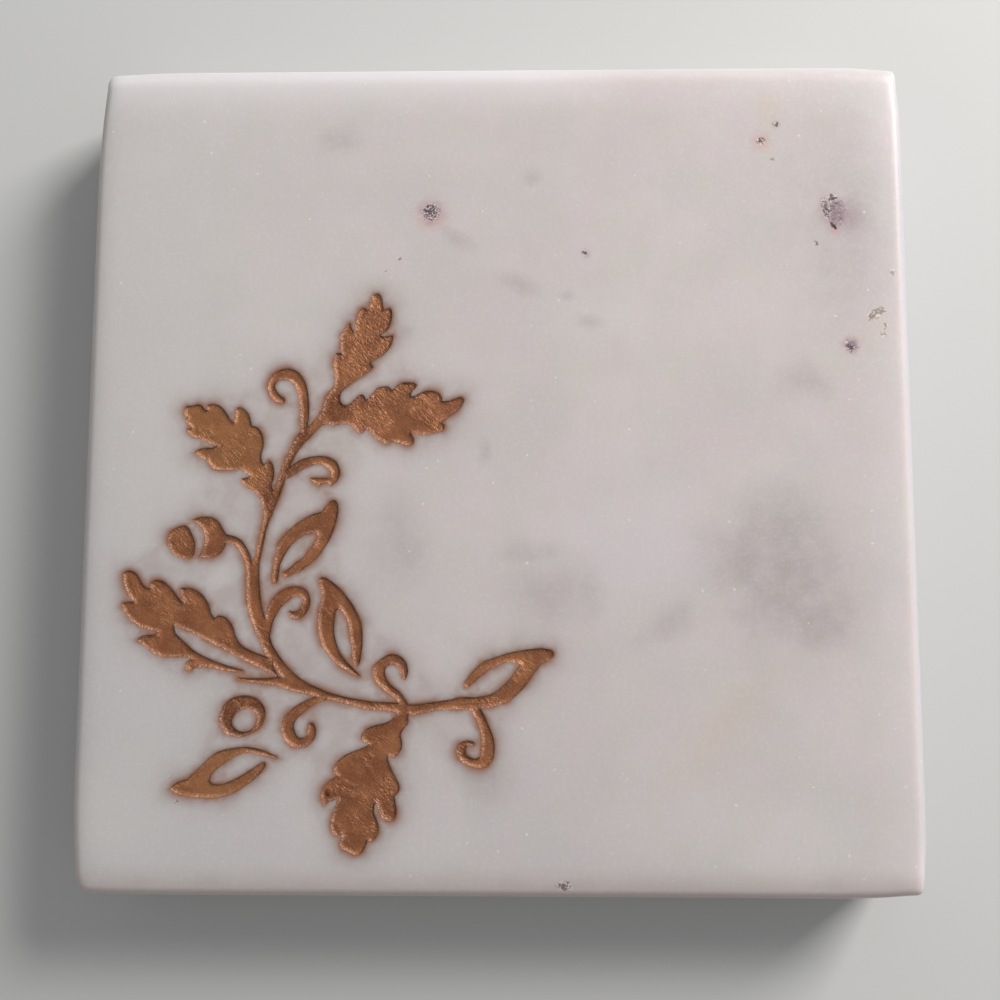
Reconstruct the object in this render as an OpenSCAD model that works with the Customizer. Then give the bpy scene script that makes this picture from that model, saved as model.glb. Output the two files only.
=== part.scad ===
// A square stone drink coaster. A spray of oak leaves, an acorn and curled
// tendrils is cut into its top face and filled with metallic paint. It stands
// on four rubber feet, each held to the stone by a thin adhesive disc.
// The origin is at the middle of the underside, +Z is up, +X is right and +Y
// is towards the back.

/* [Slab] */
// Width of the slab, from left to right
slab_w = 100; // [90:1:140]
// Depth of the slab, from front to back
slab_d = 101; // [90:1:140]
// Thickness of the slab
slab_h = 10; // [6:0.5:16]
// Radius of the rounded edges and corners of the slab
edge_r = 2; // [1:0.25:2.5]

/* [Engraved spray] */
// Side of the square field that the spray is drawn on
spray_field = 100; // [60:1:110]
// Distance from the slab's left side to the field
spray_inset_x = 0; // [0:0.5:10]
// Distance from the slab's front side to the field
spray_inset_y = 0.5; // [0:0.5:6]
// Depth of the cuts below the top face
cut_depth = 0.6; // [0.4:0.05:1.5]
// Thickness of the paint on the bottom of the cuts
paint_t = 0.15; // [0.1:0.05:0.3]
// Longest straight step along a curved outline
outline_step = 0.5; // [0.3:0.1:1]

/* [Feet] */
// Diameter of a rubber foot
foot_d = 10; // [6:0.5:16]
// Height of a rubber foot
foot_h = 1.5; // [1:0.25:4]
// Radius of the rounded lower rim of a foot
foot_rim_r = 0.8; // [0.4:0.1:0.9]
// Distance from the slab's sides to the middle of a foot
foot_inset = 12; // [10:0.5:20]
// Distance that the adhesive disc stays inside the foot's side
pad_margin = 0.5; // [0.25:0.25:2]
// Thickness of the adhesive disc
pad_t = 0.15; // [0.1:0.05:0.5]

/* [Hidden] */

percent = 100;
left = -1;
right = 1;
front = -1;
back = 1;
// The third number of an outline point where the outline turns sharply
corner = 1;
// Steps in the round end of a stroke, and in a foot's rim
round_steps = 6;
// How far a cutter runs past the face that it opens
overrun = 1;
facets = 64;

pad_d = foot_d - 2 * pad_margin;
pad_z = foot_h;
slab_z = foot_h + pad_t;
top_z = slab_z + slab_h;
floor_z = top_z - cut_depth;
field_x = -slab_w / 2 + spray_inset_x + spray_field / 2;
field_y = -slab_d / 2 + spray_inset_y + spray_field / 2;

stone_colour = "#CBC4C1";
paint_colour = "#8C6244";
rubber_colour = "#3A3A3C";
glue_colour = "#D8D6CC";

// Every table below gives places as percent shares of the field's side,
// counted from the middle of the field, with +Y towards the back.
// Outline points are [x, y] on a smooth stretch and [x, y, corner] at a
// sharp turn. Stroke points are [x, y, width].

// The two leaves at the top of the spray and the fork that they grow from
twin_leaves_shares = [
    [-22.0, 5.45, corner], [-21.4, 6.25], [-21.1, 7.25], [-20.75, 8.3], [-20.35, 8.95],
    [-19.85, 9.7], [-19.65, 10.9], [-19.75, 11.7], [-19.9, 12.5], [-19.8, 13.3],
    [-19.5, 13.75], [-19.15, 13.8], [-18.85, 13.65, corner],
    [-19.05, 14.5], [-19.1, 15.6], [-18.9, 16.4], [-18.5, 16.95], [-17.97, 17.5, corner],
    [-17.75, 16.95], [-17.5, 16.45, corner],
    [-17.3, 17.3], [-17.05, 18.4], [-16.85, 18.9], [-16.5, 19.3], [-16.15, 19.35],
    [-15.85, 19.0, corner],
    [-15.6, 19.3], [-15.55, 19.9], [-15.45, 20.4], [-15.15, 21.0], [-14.7, 21.2],
    [-14.3, 21.0], [-14.05, 20.45], [-13.95, 19.7], [-13.85, 19.0, corner],
    [-13.55, 19.2], [-13.15, 19.35], [-12.9, 19.1], [-12.85, 18.4], [-12.95, 17.6],
    [-13.25, 16.85], [-13.65, 16.35], [-14.2, 15.95, corner],
    [-13.8, 15.8], [-13.25, 15.85], [-12.7, 15.95, corner],
    [-12.7, 15.5], [-12.9, 14.75], [-13.4, 13.95], [-13.95, 13.5], [-14.6, 13.1],
    [-15.2, 12.8], [-15.4, 12.5, corner], [-15.2, 12.25], [-15.05, 11.95, corner],
    [-16.05, 11.1], [-16.85, 10.7], [-17.7, 10.0], [-18.4, 9.4], [-18.9, 8.85],
    [-19.05, 8.3], [-18.95, 7.75], [-18.5, 7.35], [-18.0, 7.4],
    [-17.5, 7.8], [-16.95, 8.35], [-16.45, 8.65], [-16.1, 8.5], [-15.9, 8.0, corner],
    [-15.45, 8.4], [-15.0, 8.9], [-14.5, 9.4], [-13.8, 9.6], [-13.2, 9.6],
    [-12.75, 9.2, corner],
    [-12.3, 9.5], [-11.9, 9.85], [-11.3, 10.1], [-10.45, 10.1], [-9.95, 10.0],
    [-9.7, 9.8], [-9.85, 9.45], [-10.2, 9.1], [-10.45, 8.75], [-10.4, 8.4, corner],
    [-9.9, 8.5], [-9.3, 8.8], [-8.5, 9.05], [-7.8, 9.05], [-7.1, 8.8], [-6.7, 8.4],
    [-6.65, 7.8, corner],
    [-5.8, 7.85], [-5.0, 8.15], [-4.4, 8.3], [-4.05, 8.15], [-4.0, 7.8], [-4.25, 7.2],
    [-4.75, 6.6], [-5.35, 6.2], [-6.05, 5.65], [-6.7, 5.15, corner],
    [-6.35, 4.95], [-6.35, 4.55], [-6.65, 4.15], [-7.35, 3.9], [-8.2, 3.7], [-9.1, 3.65],
    [-9.7, 3.8], [-10.4, 3.95, corner],
    [-10.1, 3.4], [-10.0, 2.85], [-10.3, 2.45], [-10.8, 2.4], [-11.6, 2.65],
    [-12.5, 2.85, corner], [-13.3, 2.6], [-13.9, 2.85], [-14.4, 3.1], [-14.95, 3.6],
    [-15.35, 4.1], [-15.9, 4.4, corner],
    [-16.15, 4.0], [-16.55, 3.9], [-17.0, 4.2], [-17.6, 4.8], [-18.0, 5.0],
    [-18.6, 5.05], [-19.7, 4.9], [-20.3, 5.0], [-20.95, 4.95], [-21.5, 4.6],
    [-22.0, 4.1, corner],
];

// The leaf to the left of the upper stem, and the stem's body beside it
upper_left_leaf_shares = [
    [-37.95, 6.8], [-37.65, 7.25], [-37.0, 7.3], [-36.4, 7.45], [-35.85, 7.3],
    [-35.5, 6.85], [-35.1, 6.75, corner],
    [-35.15, 7.25], [-34.65, 7.5], [-34.0, 7.45], [-33.35, 7.05], [-32.85, 6.45],
    [-32.4, 5.7], [-31.9, 5.2, corner],
    [-31.75, 5.9], [-31.7, 6.5], [-31.55, 6.95], [-31.2, 7.1], [-30.7, 6.9],
    [-30.15, 6.35], [-29.9, 5.65], [-29.7, 4.8, corner],
    [-29.2, 4.7], [-28.7, 4.3], [-28.35, 3.6], [-28.2, 2.8], [-28.3, 2.0],
    [-28.45, 1.35], [-28.4, 0.65], [-28.1, 0.05, corner],
    [-27.85, 0.35], [-27.6, 0.6], [-27.25, 0.4], [-26.95, -0.1], [-26.85, -0.9],
    [-26.95, -1.7], [-27.1, -2.3], [-27.0, -2.9, corner],
    [-26.5, -2.0, corner], [-26.1, -3.3], [-26.5, -4.4], [-26.85, -5.3, corner],
    [-28.05, -5.6, corner], [-28.2, -4.9], [-28.45, -4.2], [-28.8, -3.6],
    [-29.5, -3.05], [-30.35, -2.5], [-30.8, -1.9], [-30.7, -1.6, corner],
    [-30.2, -1.5], [-29.75, -1.25, corner],
    [-30.35, -0.9], [-31.0, -0.45], [-31.55, -0.6], [-32.4, -0.55], [-33.45, -0.55],
    [-34.2, -0.35], [-34.65, 0.15], [-35.35, 0.7], [-36.1, 1.2], [-36.55, 1.55, corner],
    [-36.05, 1.95], [-35.35, 2.15], [-34.5, 2.15], [-33.85, 2.4, corner],
    [-34.65, 2.65], [-35.4, 3.0], [-36.2, 3.3], [-36.9, 3.55], [-37.4, 4.0],
    [-37.5, 4.4, corner], [-37.0, 4.55, corner],
    [-37.4, 5.0], [-37.75, 5.45], [-37.6, 5.85, corner], [-37.9, 6.2],
];

// The large leaf at the left, with the bare rib that is open at its lower end
large_left_leaf_shares = [
    [-44.65, -13.0], [-44.3, -12.75], [-43.8, -12.7], [-43.1, -13.1], [-42.6, -13.85],
    [-42.1, -14.55], [-41.35, -14.8, corner],
    [-41.4, -14.2], [-41.0, -13.9], [-40.2, -13.85], [-39.4, -14.3], [-38.6, -15.1],
    [-38.0, -15.9], [-37.4, -16.55, corner],
    [-37.75, -15.3], [-37.75, -14.85], [-37.2, -14.75], [-36.4, -14.8], [-35.6, -15.2], [-34.8, -15.9],
    [-34.3, -16.8], [-34.0, -17.7], [-33.55, -18.3, corner],
    [-33.0, -18.0], [-32.2, -18.3], [-31.5, -19.1], [-31.1, -20.1], [-30.7, -21.0],
    [-30.0, -21.7], [-28.8, -22.3], [-27.7, -22.7], [-26.8, -23.1, corner],
    [-25.6, -25.6, corner], [-26.4, -24.95, corner],
    [-28.0, -24.2], [-29.6, -23.4], [-31.2, -22.6], [-32.8, -21.8], [-34.4, -20.95],
    [-36.0, -20.2], [-37.2, -19.6], [-38.4, -19.2, corner],
    [-38.2, -20.0], [-37.6, -20.7], [-36.6, -21.6], [-35.4, -22.45], [-34.2, -23.05],
    [-32.8, -23.6], [-31.2, -24.1], [-30.0, -24.5, corner],
    [-30.8, -24.6], [-32.2, -24.55], [-33.6, -24.2], [-34.8, -24.1], [-35.8, -24.2],
    [-36.3, -24.5], [-36.75, -24.25], [-36.95, -23.8], [-36.65, -23.4],
    [-36.2, -23.1, corner],
    [-37.0, -23.0], [-38.0, -22.95], [-39.4, -22.95], [-40.5, -22.6], [-41.4, -22.0],
    [-42.2, -21.45], [-42.75, -20.9, corner],
    [-42.4, -20.6], [-41.8, -20.35], [-40.9, -20.3], [-40.3, -19.95, corner],
    [-41.8, -19.6], [-42.8, -19.2], [-43.6, -18.5], [-44.3, -17.8], [-44.65, -17.1],
    [-44.7, -16.6, corner], [-44.0, -16.4], [-43.3, -16.4, corner],
    [-43.9, -15.75], [-44.3, -15.0], [-44.6, -14.0],
];

// The leaf that hangs from the lower stem
bottom_leaf_shares = [
    [-10.1, -29.2, corner], [-10.4, -29.75], [-10.35, -30.2], [-10.45, -30.7], [-10.9, -31.2],
    [-11.25, -31.9], [-11.1, -32.6], [-11.1, -33.35], [-11.45, -34.0], [-12.0, -34.4],
    [-12.75, -34.3, corner],
    [-12.7, -34.8], [-12.45, -35.5], [-12.0, -36.4], [-11.55, -37.2], [-11.3, -37.9],
    [-11.5, -38.55], [-11.9, -38.9, corner],
    [-11.75, -39.8], [-11.65, -40.6], [-11.8, -41.35], [-12.2, -41.75], [-12.9, -41.7],
    [-13.45, -41.2], [-13.8, -40.4], [-14.05, -39.6, corner],
    [-14.3, -40.75], [-14.0, -41.5], [-13.75, -42.4], [-13.8, -43.2], [-14.2, -43.9],
    [-14.6, -44.1], [-15.0, -43.95, corner],
    [-15.35, -44.9], [-15.8, -45.45], [-16.5, -45.65], [-17.3, -45.2], [-17.9, -45.0],
    [-18.25, -44.45], [-18.05, -43.7], [-18.1, -43.2, corner],
    [-18.7, -43.4], [-19.2, -42.95], [-19.3, -42.1], [-19.1, -41.0], [-18.75, -39.95],
    [-18.6, -39.35, corner],
    [-19.6, -39.65], [-20.15, -39.9], [-20.4, -39.6], [-20.5, -38.8], [-20.3, -38.1],
    [-19.8, -37.45], [-19.1, -36.95], [-18.55, -36.6, corner],
    [-19.0, -36.2], [-19.0, -35.65], [-18.55, -34.9], [-17.7, -34.25], [-16.7, -33.8],
    [-15.7, -33.4], [-15.0, -33.05, corner],
    [-15.55, -32.75], [-15.95, -32.5], [-15.9, -32.15], [-15.5, -31.5], [-14.9, -31.05],
    [-14.0, -30.75], [-12.9, -30.45], [-12.2, -30.0], [-11.8, -29.5], [-11.6, -28.8, corner],
];

// The open leaf at the end of the right-hand stem
right_open_leaf_shares = [
    [-5.0, -27.7, corner], [-4.0, -27.5], [-2.65, -27.55], [-1.55, -27.4], [-0.4, -27.05],
    [0.45, -26.45], [1.3, -25.7], [1.9, -25.0], [2.4, -24.3], [2.8, -23.7, corner],
    [1.8, -23.45], [0.9, -23.55], [0.0, -23.95], [-0.9, -24.4], [-1.8, -25.0],
    [-2.65, -25.8], [-3.4, -26.35], [-3.8, -26.35], [-3.85, -25.9], [-3.3, -25.1],
    [-2.4, -24.15], [-1.3, -23.3], [0.0, -22.8], [1.3, -22.4], [2.7, -22.1],
    [4.0, -21.9], [5.3, -21.8], [6.2, -21.95], [6.75, -22.3], [6.55, -22.9],
    [5.9, -23.3], [5.1, -23.8], [4.65, -24.4], [4.0, -25.3], [3.2, -26.4],
    [2.2, -27.4], [1.1, -28.2], [-0.2, -28.6], [-1.5, -28.8], [-2.6, -28.85],
    [-3.8, -28.95], [-5.0, -28.9, corner],
];

// The flat foot at the end of the second curl
curl_foot_shares = [
    [-22.45, -1.58, corner], [-20.2, -1.52, corner], [-19.5, -1.3, corner], [-19.4, -2.0, corner],
    [-19.95, -2.5, corner], [-20.35, -2.1, corner], [-20.9, -2.2, corner], [-21.4, -2.5, corner],
    [-22.0, -2.1, corner],
];

// The scaly cup of the acorn
acorn_cup_shares = [
    [-36.5, -6.6, corner], [-35.75, -6.3], [-34.8, -6.2], [-34.0, -6.4], [-33.3, -6.95],
    [-32.8, -7.75], [-32.4, -8.4, corner], [-32.4, -9.2, corner],
    [-32.8, -10.2], [-33.3, -10.75], [-34.0, -11.1], [-34.8, -11.15], [-35.7, -11.05, corner],
    [-35.3, -10.3], [-35.0, -9.4], [-35.05, -8.5], [-35.4, -7.65],
];

acorn_nut_shares = [
    [-37.4, -7.3, corner], [-37.0, -7.6], [-36.6, -8.25], [-36.3, -9.05], [-36.2, -9.9], [-36.35, -10.8],
    [-36.75, -11.25, corner], [-37.7, -11.2], [-38.5, -10.85], [-39.1, -10.25], [-39.45, -9.4],
    [-39.4, -8.6], [-39.0, -7.9], [-38.2, -7.45],
];

upper_open_leaf_shares = [
    [-19.45, -4.2], [-19.1, -4.7], [-19.05, -5.6], [-19.3, -7.0], [-19.9, -8.7],
    [-20.75, -10.15], [-21.7, -11.3], [-22.65, -12.15], [-23.5, -12.75], [-24.35, -13.1],
    [-25.15, -13.45], [-25.5, -13.2], [-25.5, -12.9, corner],
    [-24.8, -12.4], [-24.1, -11.8], [-23.15, -11.1], [-22.3, -10.0], [-21.5, -8.7],
    [-21.6, -8.1, corner],
    [-22.9, -8.4], [-23.85, -8.95], [-24.8, -9.9], [-25.5, -11.1], [-25.9, -12.05],
    [-26.05, -13.2], [-26.25, -14.1, corner], [-26.65, -14.15, corner],
    [-26.8, -13.5], [-26.7, -12.05], [-26.5, -10.6], [-26.1, -9.3], [-25.4, -8.35],
    [-24.55, -7.5], [-23.5, -6.7], [-22.2, -6.0], [-21.0, -5.55], [-20.35, -4.75],
    [-19.9, -4.3],
];

inner_open_leaf_shares = [
    [-21.15, -13.65], [-20.85, -13.45], [-20.3, -13.55], [-19.55, -14.05], [-18.7, -14.8],
    [-17.85, -15.7], [-17.0, -16.9], [-16.45, -17.95], [-16.05, -19.0], [-15.9, -20.15],
    [-15.9, -21.55], [-16.05, -22.7], [-16.25, -23.65], [-16.5, -23.9], [-16.85, -23.75],
    [-17.05, -23.0], [-17.15, -21.85], [-17.3, -20.85], [-17.45, -19.85], [-17.65, -18.85],
    [-18.0, -18.0], [-18.85, -17.1, corner],
    [-19.1, -17.5], [-19.25, -18.45], [-19.3, -19.7], [-19.05, -21.0], [-18.55, -22.3],
    [-17.85, -23.3], [-17.0, -24.15], [-16.1, -25.1, corner],
    [-16.7, -24.95], [-17.55, -24.5], [-18.7, -23.8], [-19.7, -22.9], [-20.55, -21.7],
    [-21.05, -20.3], [-21.2, -19.0], [-21.15, -17.4], [-20.9, -16.0], [-20.95, -15.0],
    [-21.15, -14.3],
];

lower_open_leaf_shares = [
    [-38.25, -38.25], [-37.7, -37.65], [-36.3, -37.1, corner],
    [-35.45, -36.3], [-34.3, -35.15], [-32.85, -34.0], [-31.15, -33.5], [-29.4, -33.35],
    [-27.7, -33.65], [-26.4, -34.15], [-25.7, -34.55, corner],
    [-26.55, -34.5], [-28.0, -34.15], [-29.4, -34.05], [-30.85, -34.55], [-32.3, -35.45],
    [-33.3, -36.4], [-33.65, -37.15, corner], [-33.3, -37.6],
    [-32.3, -37.65], [-31.15, -37.3], [-30.0, -36.7], [-28.85, -36.0], [-27.9, -35.35],
    [-27.2, -35.1], [-27.1, -35.4], [-27.35, -35.9], [-28.15, -36.85], [-29.45, -37.85],
    [-30.85, -38.65], [-32.3, -39.1], [-34.0, -39.2], [-35.7, -39.1], [-37.1, -38.85],
    [-37.85, -38.55],
];

ring_outer_shares = [
    [-30.1, -27.4], [-28.6, -27.6], [-27.5, -28.6], [-27.3, -29.8], [-28.0, -31.2],
    [-29.9, -32.2], [-31.6, -31.95], [-32.65, -30.6], [-32.4, -28.9], [-31.5, -27.85],
];
ring_inner_shares = [
    [-29.7, -29.0], [-28.6, -29.3], [-28.2, -30.1], [-28.7, -31.2], [-29.9, -31.6],
    [-31.0, -31.0], [-31.15, -30.2], [-30.6, -29.35],
];

// The main stem, from the fork of the two top leaves to the right open leaf
stem_shares = [
    [-20.9, 6.0, 1.5], [-21.5, 5.3, 1.15], [-22.25, 4.6, 1.05], [-23.15, 3.75, 1.3],
    [-23.7, 3.15, 1.25], [-24.25, 2.35, 1.1], [-24.75, 1.4, 0.93], [-25.2, 0.4, 0.85],
    [-25.6, -0.7, 0.95], [-25.95, -1.7, 0.9], [-26.3, -2.7, 0.95], [-26.7, -3.7, 1.1],
    [-27.3, -4.9, 1.3], [-27.5, -6.0, 0.98], [-27.85, -7.4, 0.62], [-28.15, -8.7, 0.64],
    [-28.38, -10.0, 0.64], [-28.6, -11.1, 0.65], [-28.9, -12.1, 1.1], [-29.1, -13.2, 1.5],
    [-29.07, -14.6, 1.58], [-28.95, -16.1, 1.66], [-28.65, -17.5, 1.7], [-28.2, -18.9, 1.6],
    [-27.65, -20.4, 1.4], [-27.2, -21.6, 1.27], [-26.6, -22.6, 1.2], [-25.75, -23.75, 1.2],
    [-24.95, -24.75, 1.3], [-24.0, -25.6, 1.35], [-22.7, -26.4, 1.2], [-21.2, -27.0, 0.95],
    [-19.4, -27.5, 0.75], [-17.3, -28.02, 0.8], [-15.0, -28.5, 1.0], [-12.7, -28.65, 1.0],
    [-11.2, -28.8, 1.15], [-9.8, -29.0, 1.2], [-8.2, -28.75, 1.05], [-6.4, -28.47, 1.05],
    [-4.7, -28.3, 1.2], [-3.4, -28.2, 1.2],
];
acorn_stalk_shares = [
    [-33.0, -8.8, 1.1], [-32.2, -8.9, 1.0], [-31.4, -9.1, 0.95], [-30.75, -9.55, 0.9],
    [-30.25, -10.3, 0.85], [-29.85, -11.2, 0.85], [-29.6, -12.1, 0.8], [-29.45, -13.2, 0.8],
];
tail_shares = [
    [-30.55, -25.42, 0.15], [-29.4, -25.55, 0.32], [-28.2, -25.65, 0.55], [-27.0, -25.7, 0.75],
    [-25.9, -25.72, 1.05], [-24.5, -26.0, 1.4], [-23.2, -26.35, 1.4], [-21.8, -26.75, 1.05],
    [-20.6, -27.1, 0.8],
];

// The six curls, each from the stem to its tip
curl_shares = [
    [
        [-23.35, 4.3, 0.8], [-23.3, 6.2, 1.08], [-23.41, 8.08, 1.17], [-23.64, 9.2, 1.24],
        [-24.0, 10.1, 1.32], [-24.7, 10.9, 1.42], [-25.5, 11.15, 1.42], [-26.35, 11.05, 1.2],
        [-27.0, 10.65, 0.98], [-27.4, 10.0, 0.86], [-27.38, 9.35, 0.88], [-27.03, 8.68, 0.93],
        [-26.55, 8.15, 0.93], [-26.1, 7.98, 0.75],
    ],
    [
        [-25.5, -1.3, 0.8], [-24.9, -0.8, 1.05], [-24.3, -0.4, 1.12], [-23.6, 0.03, 1.15],
        [-22.85, 0.35, 1.12], [-22.0, 0.58, 1.03], [-21.1, 0.6, 1.08], [-20.35, 0.38, 1.2],
        [-19.75, -0.1, 1.22], [-19.45, -0.75, 1.08], [-19.5, -1.35, 1.0], [-19.8, -1.85, 0.8],
    ],
    [
        [-27.3, -21.2, 0.8], [-27.4, -20.3, 1.0], [-27.25, -19.3, 1.02], [-27.0, -18.3, 1.1],
        [-26.6, -17.3, 1.3], [-26.05, -16.35, 1.4],
        [-25.3, -15.65, 1.4], [-24.4, -15.2, 1.25], [-23.6, -15.15, 1.15], [-22.95, -15.45, 1.0],
        [-22.65, -16.05, 0.88], [-22.7, -16.75, 0.85], [-23.05, -17.45, 0.9], [-23.7, -17.95, 0.95],
        [-24.3, -17.85, 0.75], [-24.55, -17.65, 0.4],
    ],
    [
        [-10.9, -28.4, 0.9], [-11.6, -27.35, 0.92], [-12.5, -26.7, 0.92], [-13.25, -26.0, 1.05],
        [-13.75, -25.3, 1.3], [-13.88, -24.5, 1.4], [-13.6, -23.8, 1.25], [-12.95, -23.3, 1.15],
        [-12.3, -23.12, 1.2], [-11.65, -23.3, 1.2], [-11.15, -23.8, 1.1], [-10.88, -24.6, 0.85],
        [-10.92, -25.25, 0.5],
    ],
    [
        [-20.3, -27.6, 0.6], [-21.3, -27.9, 0.8], [-22.2, -28.3, 0.92], [-23.25, -29.0, 1.1],
        [-24.1, -29.85, 1.25], [-24.55, -30.7, 1.45], [-24.5, -31.6, 1.55], [-24.1, -32.35, 1.42],
        [-23.45, -32.8, 1.25], [-22.7, -32.85, 1.15], [-22.15, -32.55, 1.02], [-21.8, -32.0, 1.0],
        [-21.75, -31.3, 1.02], [-21.8, -30.9, 0.75],
    ],
    [
        [-3.0, -28.5, 0.9], [-2.3, -29.2, 1.1], [-1.85, -29.95, 1.0], [-1.45, -31.0, 1.12],
        [-1.12, -32.0, 1.34], [-1.0, -33.1, 1.52], [-1.08, -34.1, 1.56], [-1.5, -34.9, 1.42],
        [-2.35, -35.12, 1.08], [-3.2, -34.9, 0.9], [-3.95, -34.4, 1.0], [-4.15, -33.65, 1.08],
        [-3.85, -33.08, 0.9], [-3.35, -32.85, 0.65], [-2.85, -32.85, 0.5],
    ],
];

// A smooth closed outline through a table's points. On a span between two
// smooth points the curve leaves and arrives along the line through each
// point's neighbours. Beside a corner the span bends as an arc does.
function place(p) = [p[0], p[1]] * spray_field / percent;
function unit(v) = v / norm(v);
function mirrored(v, line) = 2 * (v * line) * line - v;
function turns_sharply(p) = len(p) == 3;
function neighbour(pts, i) = pts[(i + len(pts)) % len(pts)];
function run_through(pts, i) =
    unit(place(neighbour(pts, i + 1)) - place(neighbour(pts, i - 1)));
function way_at(pts, i, other, line) =
    !turns_sharply(neighbour(pts, i)) ? run_through(pts, i)
    : turns_sharply(neighbour(pts, other)) ? line
    : mirrored(run_through(pts, other), line);
// A point at share t of a cubic curve from a to b that leaves along u and arrives along v
function curve_point(a, b, u, v, t) =
    (2 * t ^ 3 - 3 * t ^ 2 + 1) * a + (t ^ 3 - 2 * t ^ 2 + t) * u
    + (3 * t ^ 2 - 2 * t ^ 3) * b + (t ^ 3 - t ^ 2) * v;
function steps_along(a, b) = max(1, ceil(norm(b - a) / outline_step));
function smooth_outline(pts) = [
    for (i = [0 : len(pts) - 1])
        let (
            a = place(neighbour(pts, i)),
            b = place(neighbour(pts, i + 1)),
            gap = norm(b - a),
            u = way_at(pts, i, i + 1, unit(b - a)) * gap,
            v = way_at(pts, i + 1, i, unit(b - a)) * gap,
            n = steps_along(a, b)
        )
        for (k = [0 : n - 1]) curve_point(a, b, u, v, k / n)
];

// The outline of a stroke that swells and tapers along a smooth line, with round ends
function sized(p) = p * spray_field / percent;
function swing(pts, i) =
    (pts[min(i + 1, len(pts) - 1)] - pts[max(i - 1, 0)]) / 2;
function stroke_line(pts) = [
    for (i = [0 : len(pts) - 2])
        let (
            a = sized(pts[i]),
            b = sized(pts[i + 1]),
            n = steps_along(place(pts[i]), place(pts[i + 1]))
        )
        for (k = [0 : n - 1])
            curve_point(a, b, sized(swing(pts, i)), sized(swing(pts, i + 1)), k / n),
    sized(pts[len(pts) - 1]),
];
function flat(p) = [p[0], p[1]];
function heading(line, i) =
    unit(flat(line[min(i + 1, len(line) - 1)]) - flat(line[max(i - 1, 0)]));
function beside(line, i, side) =
    let (h = heading(line, i)) flat(line[i]) + side * line[i][2] / 2 * [-h[1], h[0]];
function round_end(line, i, way) =
    let (h = way * heading(line, i), r = line[i][2] / 2)
    [
        for (k = [1 : round_steps - 1])
            let (turn = 90 - 180 * k / round_steps)
            flat(line[i]) + r * (cos(turn) * h + sin(turn) * [-h[1], h[0]])
    ];
function stroke_outline(pts) =
    let (line = stroke_line(pts), last = len(line) - 1)
    concat(
        [for (i = [0 : last]) beside(line, i, 1)],
        round_end(line, last, 1),
        [for (i = [last : -1 : 0]) beside(line, i, -1)],
        round_end(line, 0, -1)
    );

module leaf(shares) {
    polygon(smooth_outline(shares));
}

module stroke(shares) {
    polygon(stroke_outline(shares));
}

module spray_cut() {
    leaf(twin_leaves_shares);
    leaf(upper_left_leaf_shares);
    leaf(large_left_leaf_shares);
    leaf(bottom_leaf_shares);
    leaf(right_open_leaf_shares);
    leaf(acorn_cup_shares);
    leaf(curl_foot_shares);
    stroke(stem_shares);
    stroke(acorn_stalk_shares);
    stroke(tail_shares);
    for (shares = curl_shares) stroke(shares);
}

module ring_cut() {
    difference() {
        leaf(ring_outer_shares);
        leaf(ring_inner_shares);
    }
}

// A shape of the spray as a solid from height z up
module raised(z, height) {
    translate([field_x, field_y, z]) linear_extrude(height) children();
}

module cuts(height) {
    raised(floor_z, height) spray_cut();
    raised(floor_z, height) leaf(acorn_nut_shares);
    raised(floor_z, height) ring_cut();
    raised(floor_z, height) leaf(upper_open_leaf_shares);
    raised(floor_z, height) leaf(inner_open_leaf_shares);
    raised(floor_z, height) leaf(lower_open_leaf_shares);
}

// A block with round edges and corners, standing on z = 0
module rounded_block(w, d, h, r) {
    x = w / 2 - r;
    y = d / 2 - r;
    translate([-x, -y, 0]) cube([2 * x, 2 * y, h]);
    translate([-x, -d / 2, r]) cube([2 * x, d, h - 2 * r]);
    translate([-w / 2, -y, r]) cube([w, 2 * y, h - 2 * r]);
    for (sx = [left, right], sy = [front, back]) {
        translate([sx * x, sy * y, r]) cylinder(r = r, h = h - 2 * r, $fn = facets);
        for (z = [r, h - r]) translate([sx * x, sy * y, z]) sphere(r = r, $fn = facets);
    }
    for (sy = [front, back], z = [r, h - r])
        translate([-x, sy * y, z]) rotate([0, 90, 0]) cylinder(r = r, h = 2 * x, $fn = facets);
    for (sx = [left, right], z = [r, h - r])
        translate([sx * x, -y, z]) rotate([-90, 0, 0]) cylinder(r = r, h = 2 * y, $fn = facets);
}

module marble_slab() {
    color(stone_colour)
    difference() {
        translate([0, 0, slab_z]) rounded_block(slab_w, slab_d, slab_h, edge_r);
        cuts(cut_depth + overrun);
    }
}

module paint_film() {
    color(paint_colour) raised(floor_z, paint_t) children();
}

module at_foot(side, end, z) {
    translate([side * (slab_w / 2 - foot_inset), end * (slab_d / 2 - foot_inset), z]) children();
}

// A foot is a disc whose lower rim is round. It stands on its flat underside.
module foot(side, end) {
    rim = [
        for (k = [0 : round_steps])
            let (turn = 90 * k / round_steps)
            [foot_d / 2 - foot_rim_r + foot_rim_r * sin(turn), foot_rim_r - foot_rim_r * cos(turn)]
    ];
    color(rubber_colour)
    at_foot(side, end, 0)
    rotate_extrude($fn = facets)
    polygon(concat([[0, 0]], rim, [[foot_d / 2, foot_h], [0, foot_h]]));
}

module pad(side, end) {
    color(glue_colour) at_foot(side, end, pad_z) cylinder(d = pad_d, h = pad_t, $fn = facets);
}

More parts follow.
